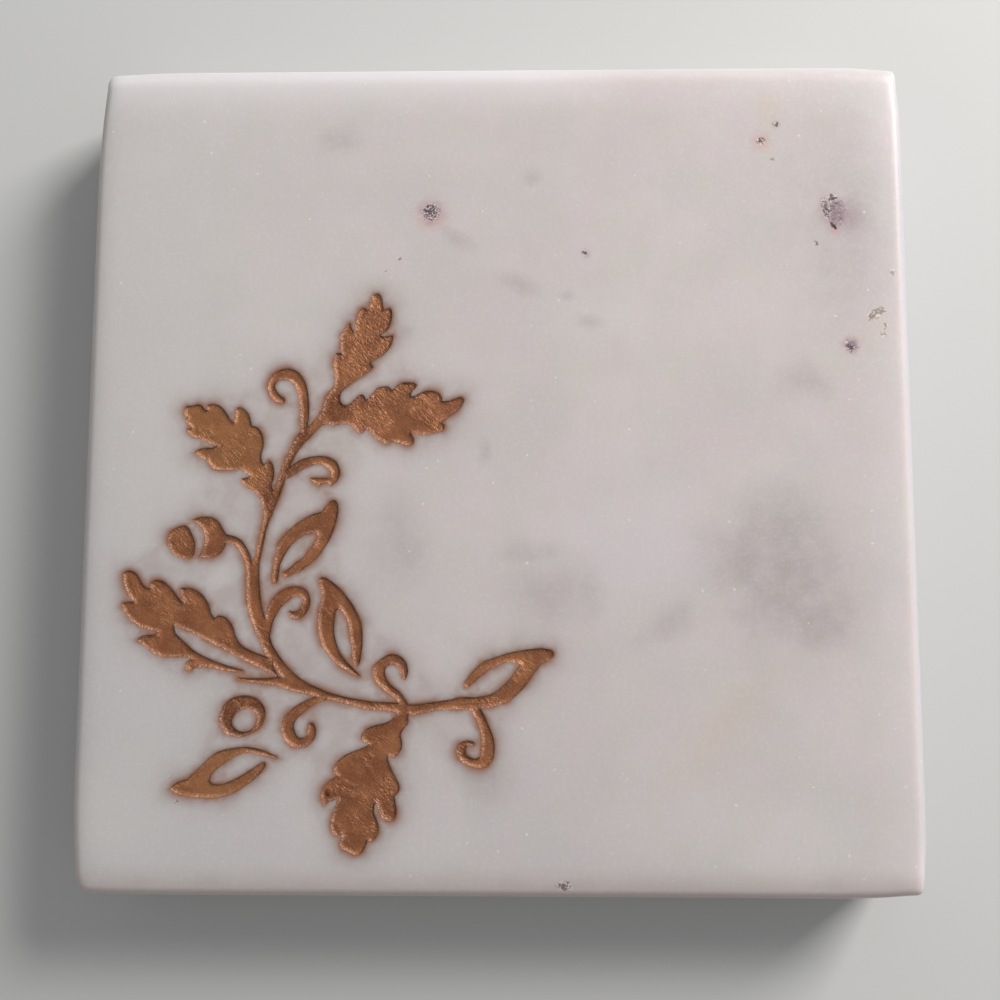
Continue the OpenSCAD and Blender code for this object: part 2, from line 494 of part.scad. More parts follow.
marble_slab();
paint_film() spray_cut();  // paint_spray
paint_film() leaf(acorn_nut_shares);  // paint_acorn_nut
paint_film() ring_cut();  // paint_ring
paint_film() leaf(upper_open_leaf_shares);  // paint_upper_open_leaf
paint_film() leaf(inner_open_leaf_shares);  // paint_inner_open_leaf
paint_film() leaf(lower_open_leaf_shares);  // paint_lower_open_leaf
foot(left, front);  // foot_front_left
foot(right, front);  // foot_front_right
foot(left, back);  // foot_back_left
foot(right, back);  // foot_back_right
pad(left, front);  // pad_front_left
pad(right, front);  // pad_front_right
pad(left, back);  // pad_back_left
pad(right, back);  // pad_back_right
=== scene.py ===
# %% [markdown]
# # A marble coaster with a copper oak-leaf spray
# The coaster is a square slab of pale marble, 100 mm a side and 10 mm thick, that stands on four
# rubber feet. A spray of oak leaves with an acorn is sunk into one corner of its top, and copper
# paint is brushed into the cuts. The CAD model gives every size and place. This lesson adds what
# a CAD model leaves plain: hand-ground edges, paint that dishes down from the edge of each cut,
# stone with its clouds and specks, and soft studio light.

# %% Load the frame
import math

import bmesh
import bpy
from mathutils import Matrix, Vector, noise
from mathutils.bvhtree import BVHTree
from mathutils.geometry import delaunay_2d_cdt


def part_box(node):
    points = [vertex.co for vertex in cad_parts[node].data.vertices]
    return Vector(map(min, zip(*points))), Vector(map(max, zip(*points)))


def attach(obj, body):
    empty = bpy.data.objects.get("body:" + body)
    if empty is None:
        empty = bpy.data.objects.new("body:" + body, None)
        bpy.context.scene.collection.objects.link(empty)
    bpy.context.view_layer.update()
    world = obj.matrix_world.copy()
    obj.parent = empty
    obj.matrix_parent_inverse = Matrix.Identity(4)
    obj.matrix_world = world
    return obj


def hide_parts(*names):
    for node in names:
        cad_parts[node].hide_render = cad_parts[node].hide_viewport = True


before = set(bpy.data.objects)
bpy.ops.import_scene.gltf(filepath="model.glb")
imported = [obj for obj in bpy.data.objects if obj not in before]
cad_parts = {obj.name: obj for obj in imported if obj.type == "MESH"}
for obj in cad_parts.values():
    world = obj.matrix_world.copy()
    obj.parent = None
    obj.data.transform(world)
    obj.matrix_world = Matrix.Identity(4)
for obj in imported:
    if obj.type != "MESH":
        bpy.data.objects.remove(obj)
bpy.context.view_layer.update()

# %% [markdown]
# ## Sizes
# Everything starts from the boxes of the CAD nodes, in metres. The slab gives the top face, and
# the film of paint gives the floor of the cuts. A size that only matters to the eye, such as how
# far the paint climbs a wall, is set in the cell that uses it.

# %% Sizes from the frame
mm = 0.001
slab_low, slab_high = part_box("marble_slab")
slab_middle = (slab_low + slab_high) / 2
slab_size = slab_high - slab_low
top_z = slab_high.z
cut_floor_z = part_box("paint_spray")[0].z
cut_depth = top_z - cut_floor_z
paint_nodes = sorted(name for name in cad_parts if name.startswith("paint_"))
foot_nodes = sorted(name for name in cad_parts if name.startswith("foot_"))
pad_nodes = sorted(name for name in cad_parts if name.startswith("pad_"))
print("cuts are", round(cut_depth / mm, 3), "mm deep, in", len(paint_nodes), "separate places")

# %% [markdown]
# ## Camera
# The photograph looks down on the coaster from just in front of its middle, with the camera
# tipped back by about five degrees. A fit of the four sides of the slab gives the place and the
# angles, on a lens as long as the frame is wide. The camera comes first, because every finish is
# judged through it.

# %% Set the camera
camera_right = 2.415 * mm
camera_front = 15.464 * mm
camera_above_top = 119.175 * mm
camera_turns = (5.396, 0.965, 0.060)
lens_mm = 36
nearest_seen = 5 * mm
farthest_seen = 20.0

camera_data = bpy.data.cameras.new("camera")
camera_data.lens = lens_mm
camera_data.sensor_width = lens_mm
camera_data.clip_start = nearest_seen
camera_data.clip_end = farthest_seen
camera = bpy.data.objects.new("camera", camera_data)
camera.location = (camera_right, -camera_front, top_z + camera_above_top)
camera.rotation_euler = [math.radians(turn) for turn in camera_turns]
bpy.context.scene.collection.objects.link(camera)
bpy.context.scene.camera = camera
print("camera at", [round(c / mm, 1) for c in camera.location], "mm")

# %% [markdown]
# ## Working by hand
# Pieces are modelled with the operators that the menus call. An operator changes whatever is
# selected, and the loaded CAD nodes start out selected, so each step first selects nothing, then
# only the piece, and in edit mode only the faces that it needs.

# %% Helpers for modelling by hand
def work_on(piece):
    """Leaves one piece selected and active."""
    bpy.ops.object.select_all(action="DESELECT")
    piece.select_set(True)
    bpy.context.view_layer.objects.active = piece


def select_faces(piece, wanted):
    """Opens the piece in edit mode with only the wanted faces selected, and counts them."""
    work_on(piece)
    bpy.ops.object.mode_set(mode="EDIT")
    bpy.ops.mesh.select_mode(type="FACE")
    bpy.ops.mesh.select_all(action="DESELECT")
    work = bmesh.from_edit_mesh(piece.data)
    chosen = [face for face in work.faces if wanted(face)]
    for face in chosen:
        face.select_set(True)
    work.select_flush_mode()
    bmesh.update_edit_mesh(piece.data)
    return len(chosen)


def leave_edit():
    """Goes back to object mode."""
    bpy.ops.object.mode_set(mode="OBJECT")


def mesh_piece(name, corners, faces):
    """A new piece from lists of corners and faces."""
    data = bpy.data.meshes.new(name)
    data.from_pydata(corners, [], faces)
    data.update()
    piece = bpy.data.objects.new(name, data)
    bpy.context.scene.collection.objects.link(piece)
    return piece


# %% [markdown]
# ## The slab, first as a rough block
# A stone cutter saws a square block and grinds its edges by hand, so no two edges are quite
# alike: in the photograph the back edge is broad and round, and the right one is tight. A cube
# is scaled to the CAD slab's size, and a Bevel modifier rounds each edge to its own radius,
# through the edge's bevel weight. Cuts across the block then give the long edges points to move
# when the sides are made to wander.

# %% Round the edges of the block
rim_radius = {"back": 2.0 * mm, "right": 1.2 * mm, "front": 1.1 * mm, "left": 1.2 * mm}
corner_radius = {
    ("left", "back"): 1.2 * mm,
    ("right", "back"): 0.7 * mm,
    ("left", "front"): 1.9 * mm,
    ("right", "front"): 0.8 * mm,
}
under_radius = 0.8 * mm
rounding_steps = 8
skin_step = 4 * mm
touching = 0.01 * mm


def gaps_to_sides(point):
    """How far in from each side of the block a point lies."""
    return {
        "left": point.x - slab_low.x,
        "right": slab_high.x - point.x,
        "front": point.y - slab_low.y,
        "back": slab_high.y - point.y,
        "top": slab_high.z - point.z,
        "under": point.z - slab_low.z,
    }


def edge_radius(middle):
    """The radius that an edge of the block is ground to."""
    sides = [side for side, gap in gaps_to_sides(middle).items() if abs(gap) < touching]
    if "under" in sides:
        return under_radius
    if "top" in sides:
        return rim_radius[sides[0]]
    return corner_radius[tuple(sides)]


def rough_block():
    """A cube at the slab's size, with its edges rounded."""
    bpy.ops.object.select_all(action="DESELECT")
    bpy.ops.mesh.primitive_cube_add(size=1, location=slab_middle)
    block = bpy.context.object
    block.name = "coaster_slab"
    bpy.ops.transform.resize(value=slab_size)
    bpy.ops.object.transform_apply(location=True, rotation=True, scale=True)
    widest = max(rim_radius.values())
    weights = block.data.attributes.new("bevel_weight_edge", "FLOAT", "EDGE")
    for edge in block.data.edges:
        first, second = [block.data.vertices[i].co for i in edge.vertices]
        weights.data[edge.index].value = edge_radius((first + second) / 2) / widest
    bevel = block.modifiers.new("ground edges", "BEVEL")
    bevel.width = widest
    bevel.segments = rounding_steps
    bevel.limit_method = "WEIGHT"
    bpy.ops.object.modifier_apply(modifier=bevel.name)
    return block


def slice_block(block):
    """Cuts across the block both ways, so that its sides have points along them."""
    work_on(block)
    bpy.ops.object.mode_set(mode="EDIT")
    for way in (Vector((1, 0, 0)), Vector((0, 1, 0))):
        reach = int(slab_size.dot(way) / 2 / skin_step)
        for step in range(-reach, reach + 1):
            bpy.ops.mesh.select_all(action="SELECT")
            bpy.ops.mesh.bisect(plane_co=way * step * skin_step, plane_no=way)
    leave_edit()


slab = rough_block()
slice_block(slab)
print("the block has", len(slab.data.polygons), "faces")

# %% [markdown]
# ## The outlines of the cuts
# The CAD film in each cut already has the drawn outline, as short straight steps. Its upper face
# is read from a merged copy, and each closed outline is walked with the paint on its left. The
# steps are then turned into a fine curve: a sharp turn stays a corner, and between corners the
# curve leaves each point along the circle through its neighbours.

# %% Read and smooth the outlines
weld = 0.0001 * mm
closest_points = 0.06
longest_step = 0.7
fine_step = 0.16
corner_turn = math.radians(40)
leaning = 0.5


def walk(work, following):
    """The points of one closed outline, in millimetres, from what point follows what."""
    here = min(following)
    outline = []
    while here in following:
        outline.append(work.verts[here].co.xy / mm)
        here = following.pop(here)
    return outline


def walked_outlines(node):
    """The closed outlines of a film's upper face, in millimetres, with the paint on the left."""
    work = bmesh.new()
    work.from_mesh(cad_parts[node].data)
    bmesh.ops.remove_doubles(work, verts=work.verts, dist=weld)
    work.verts.index_update()
    work.verts.ensure_lookup_table()
    following = {}
    for face in work.faces:
        for corner in face.loops:
            beside = corner.link_loop_radial_next.face
            if face.normal.z > leaning > beside.normal.z:
                following[corner.vert.index] = corner.link_loop_next.vert.index
    outlines = []
    while following:
        outlines.append(walk(work, following))
    work.free()
    return outlines


def evenly_spaced(outline):
    """Drops points that crowd each other, and adds points on long straight steps."""
    kept = []
    for point in outline:
        if not kept or (point - kept[-1]).length > closest_points:
            kept.append(point)
    if (kept[0] - kept[-1]).length < closest_points:
        kept.pop()
    spaced = []
    for here, there in zip(kept, kept[1:] + kept[:1]):
        parts = math.ceil((there - here).length / longest_step)
        spaced += [here.lerp(there, part / parts) for part in range(parts)]
    return spaced


def curve_directions(outline, i):
    """The directions in which the curve reaches point i and leaves it."""
    before = outline[i] - outline[i - 1]
    after = outline[(i + 1) % len(outline)] - outline[i]
    if before.angle(after) > corner_turn:
        return before.normalized(), after.normalized()
    along = before.normalized() * after.length + after.normalized() * before.length
    return along.normalized(), along.normalized()


def smooth(outline):
    """The outline as a fine curve through its points, with its corners kept."""
    outline = evenly_spaced(outline)
    ways = [curve_directions(outline, i) for i in range(len(outline))]
    curve = []
    for i, here in enumerate(outline):
        there = outline[(i + 1) % len(outline)]
        gap = (there - here).length
        leave = ways[i][1] * gap
        reach = ways[(i + 1) % len(outline)][0] * gap
        parts = math.ceil(gap / fine_step)
        for part in range(parts):
            t = part / parts
            curve.append(
                here * (2 * t**3 - 3 * t**2 + 1)
                + leave * (t**3 - 2 * t**2 + t)
                + there * (3 * t**2 - 2 * t**3)
                + reach * (t**3 - t**2)
            )
    return curve


cut_outlines = {node: [smooth(o) for o in walked_outlines(node)] for node in paint_nodes}
for node, outlines in cut_outlines.items():
    print(node, "has", len(outlines), "outlines and", sum(map(len, outlines)), "points")

# %% [markdown]
# ## A sheet with the spray drawn on it
# The top face and the paint both need a mesh that follows the outlines exactly and has rows of
# points beside them, to bend down into the cut. The inset operator would make such rows, but it
# folds over itself in the narrow tips of the leaves. So the points are laid out first: rows at
# set distances from the outline, kept only where nothing is closer, and an even scatter over the
# rest. A Delaunay triangulation then joins them without crossing an outline.

# %% Lay out points beside the outlines
hex_rise = math.sqrt(3) / 2
clear_share = 0.93


def fence_on(outlines):
    """Upright walls on the outlines, from which distances are measured."""
    corners = []
    walls = []
    for outline in outlines:
        first = len(corners)
        count = len(outline)
        corners += [(*point, -1) for point in outline]
        corners += [(*point, 1) for point in outline]
        for i in range(count):
            j = (i + 1) % count
            walls.append((first + i, first + j, first + count + j, first + count + i))
    return BVHTree.FromPolygons(corners, walls)


def distance_to(fence, x, y):
    """How far a place lies from the nearest outline, in millimetres."""
    return fence.find_nearest((x, y, 0))[3]


def way_out(fence, x, y):
    """The direction from the paint to the stone at the nearest outline."""
    return fence.find_nearest((x, y, 0))[1].xy


class Scatter:
    """Points that keep a least distance from each other."""

    def __init__(self, apart):
        self.apart = apart
        self.cells = {}

    def add(self, point):
        column = math.floor(point.x / self.apart)
        row = math.floor(point.y / self.apart)
        for i in (column - 1, column, column + 1):
            for j in (row - 1, row, row + 1):
                for other in self.cells.get((i, j), ()):
                    if (other - point).length < self.apart:
                        return
        self.cells.setdefault((column, row), []).append(point)

    def points(self):
        return [point for cell in self.cells.values() for point in cell]


def row_beside(outlines, fence, offset, apart):
    """A row of points beside the outlines, on their left where offset is above zero."""
    row = Scatter(apart)
    for outline in outlines:
        for i, point in enumerate(outline):
            along = outline[(i + 1) % len(outline)] - outline[i - 1]
            across = Vector((-along.y, along.x)).normalized()
            spot = point + across * offset
            if distance_to(fence, *spot) > clear_share * abs(offset):
                row.add(spot)
    return row.points()


def even_scatter(low, high, step, wanted):
    """Points in staggered rows over a rectangle, where they are wanted."""
    points = []
    rows = int((high.y - low.y) / (step * hex_rise)) + 1
    columns = int((high.x - low.x) / step) + 1
    for row in range(rows):
        for column in range(columns):
            x = low.x + (column + (row % 2) / 2) * step
            y = low.y + row * step * hex_rise
            if wanted(x, y):
                points.append(Vector((x, y)))
    return points


# %% Join the points into a sheet
same_point = 0.0001


def join_points(border, outlines, loose):
    """Triangles over the points. Says which lie on the stone inside the border, and which on
    the paint inside the outlines."""
    points = []
    lines = []
    for loop in [*border, *outlines]:
        first = len(points)
        points += loop
        lines += [(first + i, first + (i + 1) % len(loop)) for i in range(len(loop))]
    border_lines = sum(map(len, border))
    joined = delaunay_2d_cdt(points + loose, lines, [], 0, same_point)
    corners, edges, triangles, _, edge_lines, _ = joined
    triangle_at = {}
    for t, triangle in enumerate(triangles):
        for side in range(3):
            triangle_at[triangle[side], triangle[(side + 1) % 3]] = t
    ground = {}
    closed = set()
    for (a, b), sources in zip(edges, edge_lines):
        if not sources:
            continue
        start, end = lines[sources[0]]
        if (corners[b] - corners[a]).dot(points[end] - points[start]) < 0:
            a, b = b, a
        closed |= {(a, b), (b, a)}
        on_border = sources[0] < border_lines
        if (a, b) in triangle_at:
            ground[triangle_at[a, b]] = "stone" if on_border else "paint"
        if (b, a) in triangle_at:
            ground[triangle_at[b, a]] = "outside" if on_border or not border else "stone"
    spread = list(ground)
    while spread:
        t = spread.pop()
        for side in range(3):
            way = (triangles[t][side], triangles[t][(side + 1) % 3])
            beyond = triangle_at.get((way[1], way[0]))
            if way not in closed and beyond is not None and beyond not in ground:
                ground[beyond] = ground[t]
                spread.append(beyond)
    stone = [triangles[t] for t in sorted(ground) if ground[t] == "stone"]
    paint = [triangles[t] for t in sorted(ground) if ground[t] == "paint"]
    return corners, stone, paint


# %% [markdown]
# ## Sinking the spray into the slab
# The flat top of the block is taken out, and the sheet with the spray drawn on it is joined in
# its place. The paint's faces are then pushed down by the extrude operator, which makes the
# walls of the cuts. That needs no boolean, and leaves a closed mesh with clean edges.

# %% Engrave the top
stone_rows = ((0.07, 0.10), (0.22, 0.25), (0.55, 0.5), (1.1, 0.9))
border_gap, border_apart = 0.6, 0.9
stone_step = 2.6
level = 0.9999


def open_top(block):
    """Takes out the block's flat top, and returns the border of the opening, walked with the
    opening on the left."""

    def flat_top(face):
        return face.normal.z > level and face.calc_center_median().z > top_z - touching

    select_faces(block, flat_top)
    bpy.ops.mesh.delete(type="FACE")
    work = bmesh.from_edit_mesh(block.data)
    work.verts.index_update()
    work.verts.ensure_lookup_table()
    following = {}
    for edge in work.edges:
        if edge.is_boundary:
            corner = edge.link_loops[0]
            following[corner.link_loop_next.vert.index] = corner.vert.index
    border = walk(work, following)
    leave_edit()
    return border


def cad_tree(node):
    """A CAD node's faces, ready for rays to be cast at them."""
    return BVHTree.FromObject(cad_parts[node], bpy.context.evaluated_depsgraph_get())


def on_film(film_trees, x, y):
    """Says whether a place, in millimetres, lies over a film of paint."""
    above = Vector((x * mm, y * mm, top_z + cut_depth))
    down = Vector((0, 0, -1))
    return any(tree.ray_cast(above, down)[0] is not None for tree in film_trees)


def engraved_top(border, outlines):
    """The sheet that closes the opening, with the paint's faces in a second material slot."""
    fence = fence_on(outlines)
    border_fence = fence_on([border])
    loose = row_beside([border], border_fence, border_gap, border_apart)
    for offset, apart in stone_rows:
        loose += row_beside(outlines, fence, -offset, apart)
    farthest_row = stone_rows[-1][0]
    low = Vector(map(min, zip(*border)))
    high = Vector(map(max, zip(*border)))
    film_trees = [cad_tree(node) for node in paint_nodes]

    def open_stone(x, y):
        clear_of_cuts = distance_to(fence, x, y) > farthest_row + stone_step / 2
        clear_of_border = distance_to(border_fence, x, y) > border_gap + stone_step / 2
        return clear_of_cuts and clear_of_border and not on_film(film_trees, x, y)

    loose += even_scatter(low, high, stone_step, open_stone)
    corners, stone, paint = join_points([border], outlines, loose)
    sheet = mesh_piece(
        "engraved_top", [(x * mm, y * mm, top_z) for x, y in corners], stone + paint
    )
    for face in sheet.data.polygons[len(stone):]:
        face.material_index = 1
    return sheet


def sink_cuts(block, sheet):
    """Joins the sheet to the block and pushes the paint's faces down."""
    bpy.ops.object.select_all(action="DESELECT")
    sheet.select_set(True)
    block.select_set(True)
    bpy.context.view_layer.objects.active = block
    bpy.ops.object.join()
    bpy.ops.object.mode_set(mode="EDIT")
    bpy.ops.mesh.select_all(action="SELECT")
    bpy.ops.mesh.remove_doubles(threshold=weld * 5)
    leave_edit()
    count = select_faces(block, lambda face: face.material_index == 1)
    bpy.ops.mesh.extrude_region_move(TRANSFORM_OT_translate={"value": (0, 0, -cut_depth)})
    leave_edit()
    for face in block.data.polygons:
        face.material_index = 0
    return count


all_outlines = [outline for node in paint_nodes for outline in cut_outlines[node]]
top_sheet = engraved_top(open_top(slab), all_outlines)
for side in ("stone side", "paint side"):
    marker = bpy.data.materials.new(side)
    slab.data.materials.append(marker)
    top_sheet.data.materials.append(marker)
sunk = sink_cuts(slab, top_sheet)
print(sunk, "faces sunk, and the slab has", len(slab.data.polygons), "faces")

# %% [markdown]
# ## Hand-ground sides
# Held against a straight edge, each side of the real slab runs true in its middle and falls away
# towards the corners by up to 0.7 mm, where the grinding wheel lingered. The top rolls off a
# little before the edge as well. Each side gets a drop at either end, measured in the photograph,
# with the distance over which it fades, and the points near that side move inwards by it. The
# edge of each cut is softened in the same pass.

# %% Let the sides wander
end_drop = {
    ("left", "back"): (0.70, 8.0),
    ("left", "front"): (0.55, 6.5),
    ("right", "back"): (0.30, 5.0),
    ("right", "front"): (0.45, 4.5),
    ("back", "left"): (0.30, 6.0),
    ("back", "right"): (0.45, 4.0),
    ("front", "left"): (0.15, 4.0),
    ("front", "right"): (0.40, 5.0),
}
drop_depth = 7 * mm
roll_off = {"back": 0.50 * mm, "right": 0.14 * mm, "front": 0.30 * mm, "left": 0.20 * mm}
roll_depth = 7 * mm
arris_drop = 0.035 * mm
arris_reach = 0.07
crease = math.radians(40)
inwards = {"left": (1, 0), "right": (-1, 0), "front": (0, 1), "back": (0, -1)}
# The back and right rims are whitened, partly by the wheel and partly as a painted highlight.
rim_whitening_and_sheen = {"back": 1.0, "right": 0.35}
whitening_and_sheen_depth = 7 * mm
least_whitening_and_sheen = 0.15
whitening_and_sheen_start = 2
whitening_and_sheen_run = 16


def fade(share):
    """Falls smoothly from 1, where share is 0, to 0, where it is 1."""
    share = min(max(share, 0), 1)
    return 1 - share * share * (3 - 2 * share)


def drop_along(side, gaps):
    """How far a side has fallen away beside a point with these gaps to the sides."""
    total = 0
    for (name, end), (most, reach) in end_drop.items():
        if name == side:
            total += most * mm * math.exp(-((gaps[end] / (reach * mm)) ** 2))
    return total


def ground_by_hand(point, cut_gap):
    """Where a point of the true block lies on the hand-ground one."""
    gaps = gaps_to_sides(point)
    moved = point.copy()
    for side, way in inwards.items():
        shift = drop_along(side, gaps) * fade(gaps[side] / drop_depth)
        moved.x += way[0] * shift
        moved.y += way[1] * shift
    height = fade((top_z - point.z) / (3 * cut_depth))
    for side in inwards:
        moved.z -= roll_off[side] * height * max(1 - gaps[side] / roll_depth, 0) ** 2
    if point.z > top_z - touching:
        moved.z -= arris_drop * math.exp(-((cut_gap / arris_reach) ** 2))
    return moved


def whitening_and_sheen_at(point):
    """How whitened a point is: wheel whitening and a painted highlight on the lit rims."""
    gaps = gaps_to_sides(point)
    along_back = fade((point.x / mm - whitening_and_sheen_start) / whitening_and_sheen_run)
    to_right = least_whitening_and_sheen + (1 - least_whitening_and_sheen) * along_back
    return max(
        rim_whitening_and_sheen["back"] * to_right * fade(gaps["back"] / whitening_and_sheen_depth),
        rim_whitening_and_sheen["right"] * fade(gaps["right"] / whitening_and_sheen_depth),
    )


def grind(block, outlines):
    """Moves the block's points, and keeps each one's distance from the cuts for the finish."""
    fence = fence_on(outlines)
    from_cut = block.data.attributes.new("from_cut", "FLOAT", "POINT")
    whitening_and_sheen = block.data.attributes.new("whitening_and_sheen", "FLOAT", "POINT")
    for i, vertex in enumerate(block.data.vertices):
        whitening_and_sheen.data[i].value = whitening_and_sheen_at(vertex.co)
        gap = distance_to(fence, vertex.co.x / mm, vertex.co.y / mm)
        from_cut.data[i].value = gap + max(cut_floor_z - vertex.co.z, 0) / mm
        vertex.co = ground_by_hand(vertex.co, gap)


grind(slab, all_outlines)
work_on(slab)
bpy.ops.object.shade_smooth_by_angle(angle=crease)
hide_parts("marble_slab")
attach(slab, "root")
print("the slab's lowest corner now is", [round(c / mm, 2) for c in slab.bound_box[0]], "mm")

# %% [markdown]
# ## Paint in the cuts
# The cuts were blasted through a stencil, so their walls curve down to a rough floor, and the
# paint covers walls and floor alike. Each film is a sheet over its cut, raised from the floor of
# the cut by the extrude operator so that it is a closed solid. Its upper points are then set by
# their distance from the outline: they fall steeply at first and then level out, which in a
# narrow stroke leaves a round groove, and a little noise makes the floor uneven. Each point
# keeps how far its wall faces the lamp, up and to the right, for the painted highlight and
# painted shade that the finish lays on the walls.

# %% Dish the paint
paint_rows = ((0.06, 0.10), (0.13, 0.12), (0.22, 0.14), (0.32, 0.16))
paint_step = 0.20
paint_clearance = 0.6
paint_crease = math.radians(55)
wall_run = 0.30
wall_curve = 1.5
dish_depth = 0.155 * mm
edge_lip = 0.045 * mm
broad_unevenness, broad_pitch = 0.012 * mm, 0.55
fine_unevenness, fine_pitch = 0.016 * mm, 1.7
ripple_height, ripple_pitch = 0.012 * mm, (0.8, 2.6)
ripple_turn = math.radians(-38)
# The way away from the lamp in plan; a wall with its stone this way faces the lamp.
away_from_lamp = Vector((-0.73, -0.68))


def floor_roughness(x, y):
    """Height of the rough floor of a cut over its mean, at a place in millimetres."""
    along = x * math.cos(ripple_turn) + y * math.sin(ripple_turn)
    across = y * math.cos(ripple_turn) - x * math.sin(ripple_turn)
    broad = noise.noise(Vector((x, y, 0)) * broad_pitch)
    fine = noise.noise(Vector((x, y, 7)) * fine_pitch)
    ripple = noise.noise(Vector((along * ripple_pitch[0], across * ripple_pitch[1], 3)))
    return broad * broad_unevenness + fine * fine_unevenness + ripple * ripple_height


def paint_height(x, y, gap):
    """Height of the paint at a distance from the outline of its cut."""
    bowl = 1 - (1 - min(gap / wall_run, 1)) ** wall_curve
    return top_z - edge_lip - dish_depth * bowl + floor_roughness(x, y) * bowl


def paint_film(node):
    """A closed film of paint for one cut, dished on top and flat on the floor of the cut."""
    outlines = cut_outlines[node]
    fence = fence_on(outlines)
    loose = []
    for offset, apart in paint_rows:
        loose += row_beside(outlines, fence, offset, apart)
    cad_film = cad_tree(node)
    clear = paint_rows[-1][0] + paint_step * paint_clearance
    low, high = [corner.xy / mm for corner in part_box(node)]

    def open_floor(x, y):
        return on_film([cad_film], x, y) and distance_to(fence, x, y) > clear

    loose += even_scatter(low, high, paint_step, open_floor)
    corners, _, paint = join_points([], outlines, loose)
    used = sorted({corner for triangle in paint for corner in triangle})
    place = {corner: i for i, corner in enumerate(used)}
    film = mesh_piece(
        node.replace("paint", "copper"),
        [(corners[c].x * mm, corners[c].y * mm, cut_floor_z) for c in used],
        [[place[corner] for corner in triangle] for triangle in paint],
    )
    select_faces(film, lambda face: True)
    bpy.ops.mesh.extrude_region_move(TRANSFORM_OT_translate={"value": (0, 0, cut_depth)})
    bpy.ops.mesh.select_all(action="SELECT")
    bpy.ops.mesh.normals_make_consistent(inside=False)
    leave_edit()
    from_edge = film.data.attributes.new("from_edge", "FLOAT", "POINT")
    faces_lamp = film.data.attributes.new("faces_lamp", "FLOAT", "POINT")
    for i, vertex in enumerate(film.data.vertices):
        x, y = vertex.co.xy / mm
        gap = distance_to(fence, x, y)
        from_edge.data[i].value = gap
        faces_lamp.data[i].value = way_out(fence, x, y).dot(away_from_lamp)
        if vertex.co.z > top_z - touching:
            vertex.co.z = paint_height(x, y, gap)
    work_on(film)
    bpy.ops.object.shade_smooth_by_angle(angle=paint_crease)
    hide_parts(node)
    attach(film, "root")
    return film


copper_films = [paint_film(node) for node in paint_nodes]
for film in copper_films:
    print(film.name, "has", len(film.data.polygons), "faces")

# %% [markdown]
# ## Rubber feet
# The underside isn't in the photograph. Coasters of this kind stand on stick-on rubber bumpers,
# and the CAD model has one near each corner. A bumper is moulded: its sides taper, its rim is
# round, and its underside has a shallow ring groove and the mark of the moulding gate. One is
# modelled from a cylinder with bevel and inset operators and then copied, each copy with its own
# mesh.

# %% Model one foot
foot_low, foot_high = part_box(foot_nodes[0])
foot_d = foot_high.x - foot_low.x
foot_h = foot_high.z - foot_low.z
foot_sides = 72
foot_rim = 0.8 * mm
foot_rim_steps = 6
foot_taper = 0.985
groove_from_rim = 0.9 * mm
groove_width = 0.45 * mm
groove_depth = 0.14 * mm
gate_radius = 0.55 * mm
gate_depth = 0.10 * mm


def underside(face):
    """Says whether a face is the middle of the foot's underside."""
    return face.normal.z < -level and face.calc_center_median().xy.length < touching


def step_ring(piece, width, rise):
    """Insets the middle of the underside, and lifts or lowers it."""
    select_faces(piece, underside)
    bpy.ops.mesh.inset(thickness=width)
    if rise:
        bpy.ops.mesh.extrude_region_move(TRANSFORM_OT_translate={"value": (0, 0, rise)})
    leave_edit()


def moulded_foot():
    """One bumper, standing at the origin."""
    bpy.ops.object.select_all(action="DESELECT")
    bpy.ops.mesh.primitive_cylinder_add(
        vertices=foot_sides, radius=foot_d / 2, depth=foot_h, location=(0, 0, foot_h / 2)
    )
    foot = bpy.context.object
    bpy.ops.object.transform_apply(location=True, rotation=True, scale=True)
    select_faces(foot, underside)
    bpy.ops.transform.resize(value=(foot_taper, foot_taper, 1))
    bpy.ops.mesh.bevel(offset=foot_rim, segments=foot_rim_steps, profile=0.5)
    leave_edit()
    step_ring(foot, groove_from_rim, 0)
    step_ring(foot, groove_width / 4, groove_depth)
    step_ring(foot, groove_width / 2, 0)
    step_ring(foot, groove_width / 4, -groove_depth)
    flat_left = foot_d / 2 * foot_taper - foot_rim - groove_from_rim - groove_width
    step_ring(foot, flat_left - gate_radius, 0)
    step_ring(foot, gate_radius / 4, gate_depth)
    return foot


first_foot = moulded_foot()
print("a foot has", len(first_foot.data.polygons), "faces")

# %% Copy the foot to each corner
soft_edge = 0.05 * mm
soft_edge_turn = math.radians(35)


def stand_foot(node):
    """A copy of the foot at its CAD node's place."""
    low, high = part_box(node)
    middle = (low + high) / 2
    foot = first_foot.copy()
    foot.data = first_foot.data.copy()
    foot.name = node.replace("foot", "bumper")
    foot.data.name = foot.name
    bpy.context.scene.collection.objects.link(foot)
    work_on(foot)
    bpy.ops.transform.translate(value=(middle.x, middle.y, low.z))
    bpy.ops.object.transform_apply(location=True, rotation=True, scale=True)
    edges = foot.modifiers.new("soft edges", "BEVEL")
    edges.width = soft_edge
    edges.segments = 2
    edges.angle_limit = soft_edge_turn
    bpy.ops.object.modifier_apply(modifier=edges.name)
    bpy.ops.object.shade_smooth_by_angle(angle=crease)
    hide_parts(node)
    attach(foot, "root")
    return foot


bumpers = [stand_foot(node) for node in foot_nodes]
bpy.data.objects.remove(first_foot)
print(len(bumpers), "feet stand at", round(min(foot.bound_box[0][2] for foot in bumpers), 6))

# %% [markdown]
# ## Building finishes
# A finish is a small graph of nodes. Written node by node it is hard to read, so one class wraps
# the output of a node: adding, multiplying or comparing two of them adds the Math node that does
# it, and every other node is added by one call that names its kind, its settings and what goes
# into its sockets.

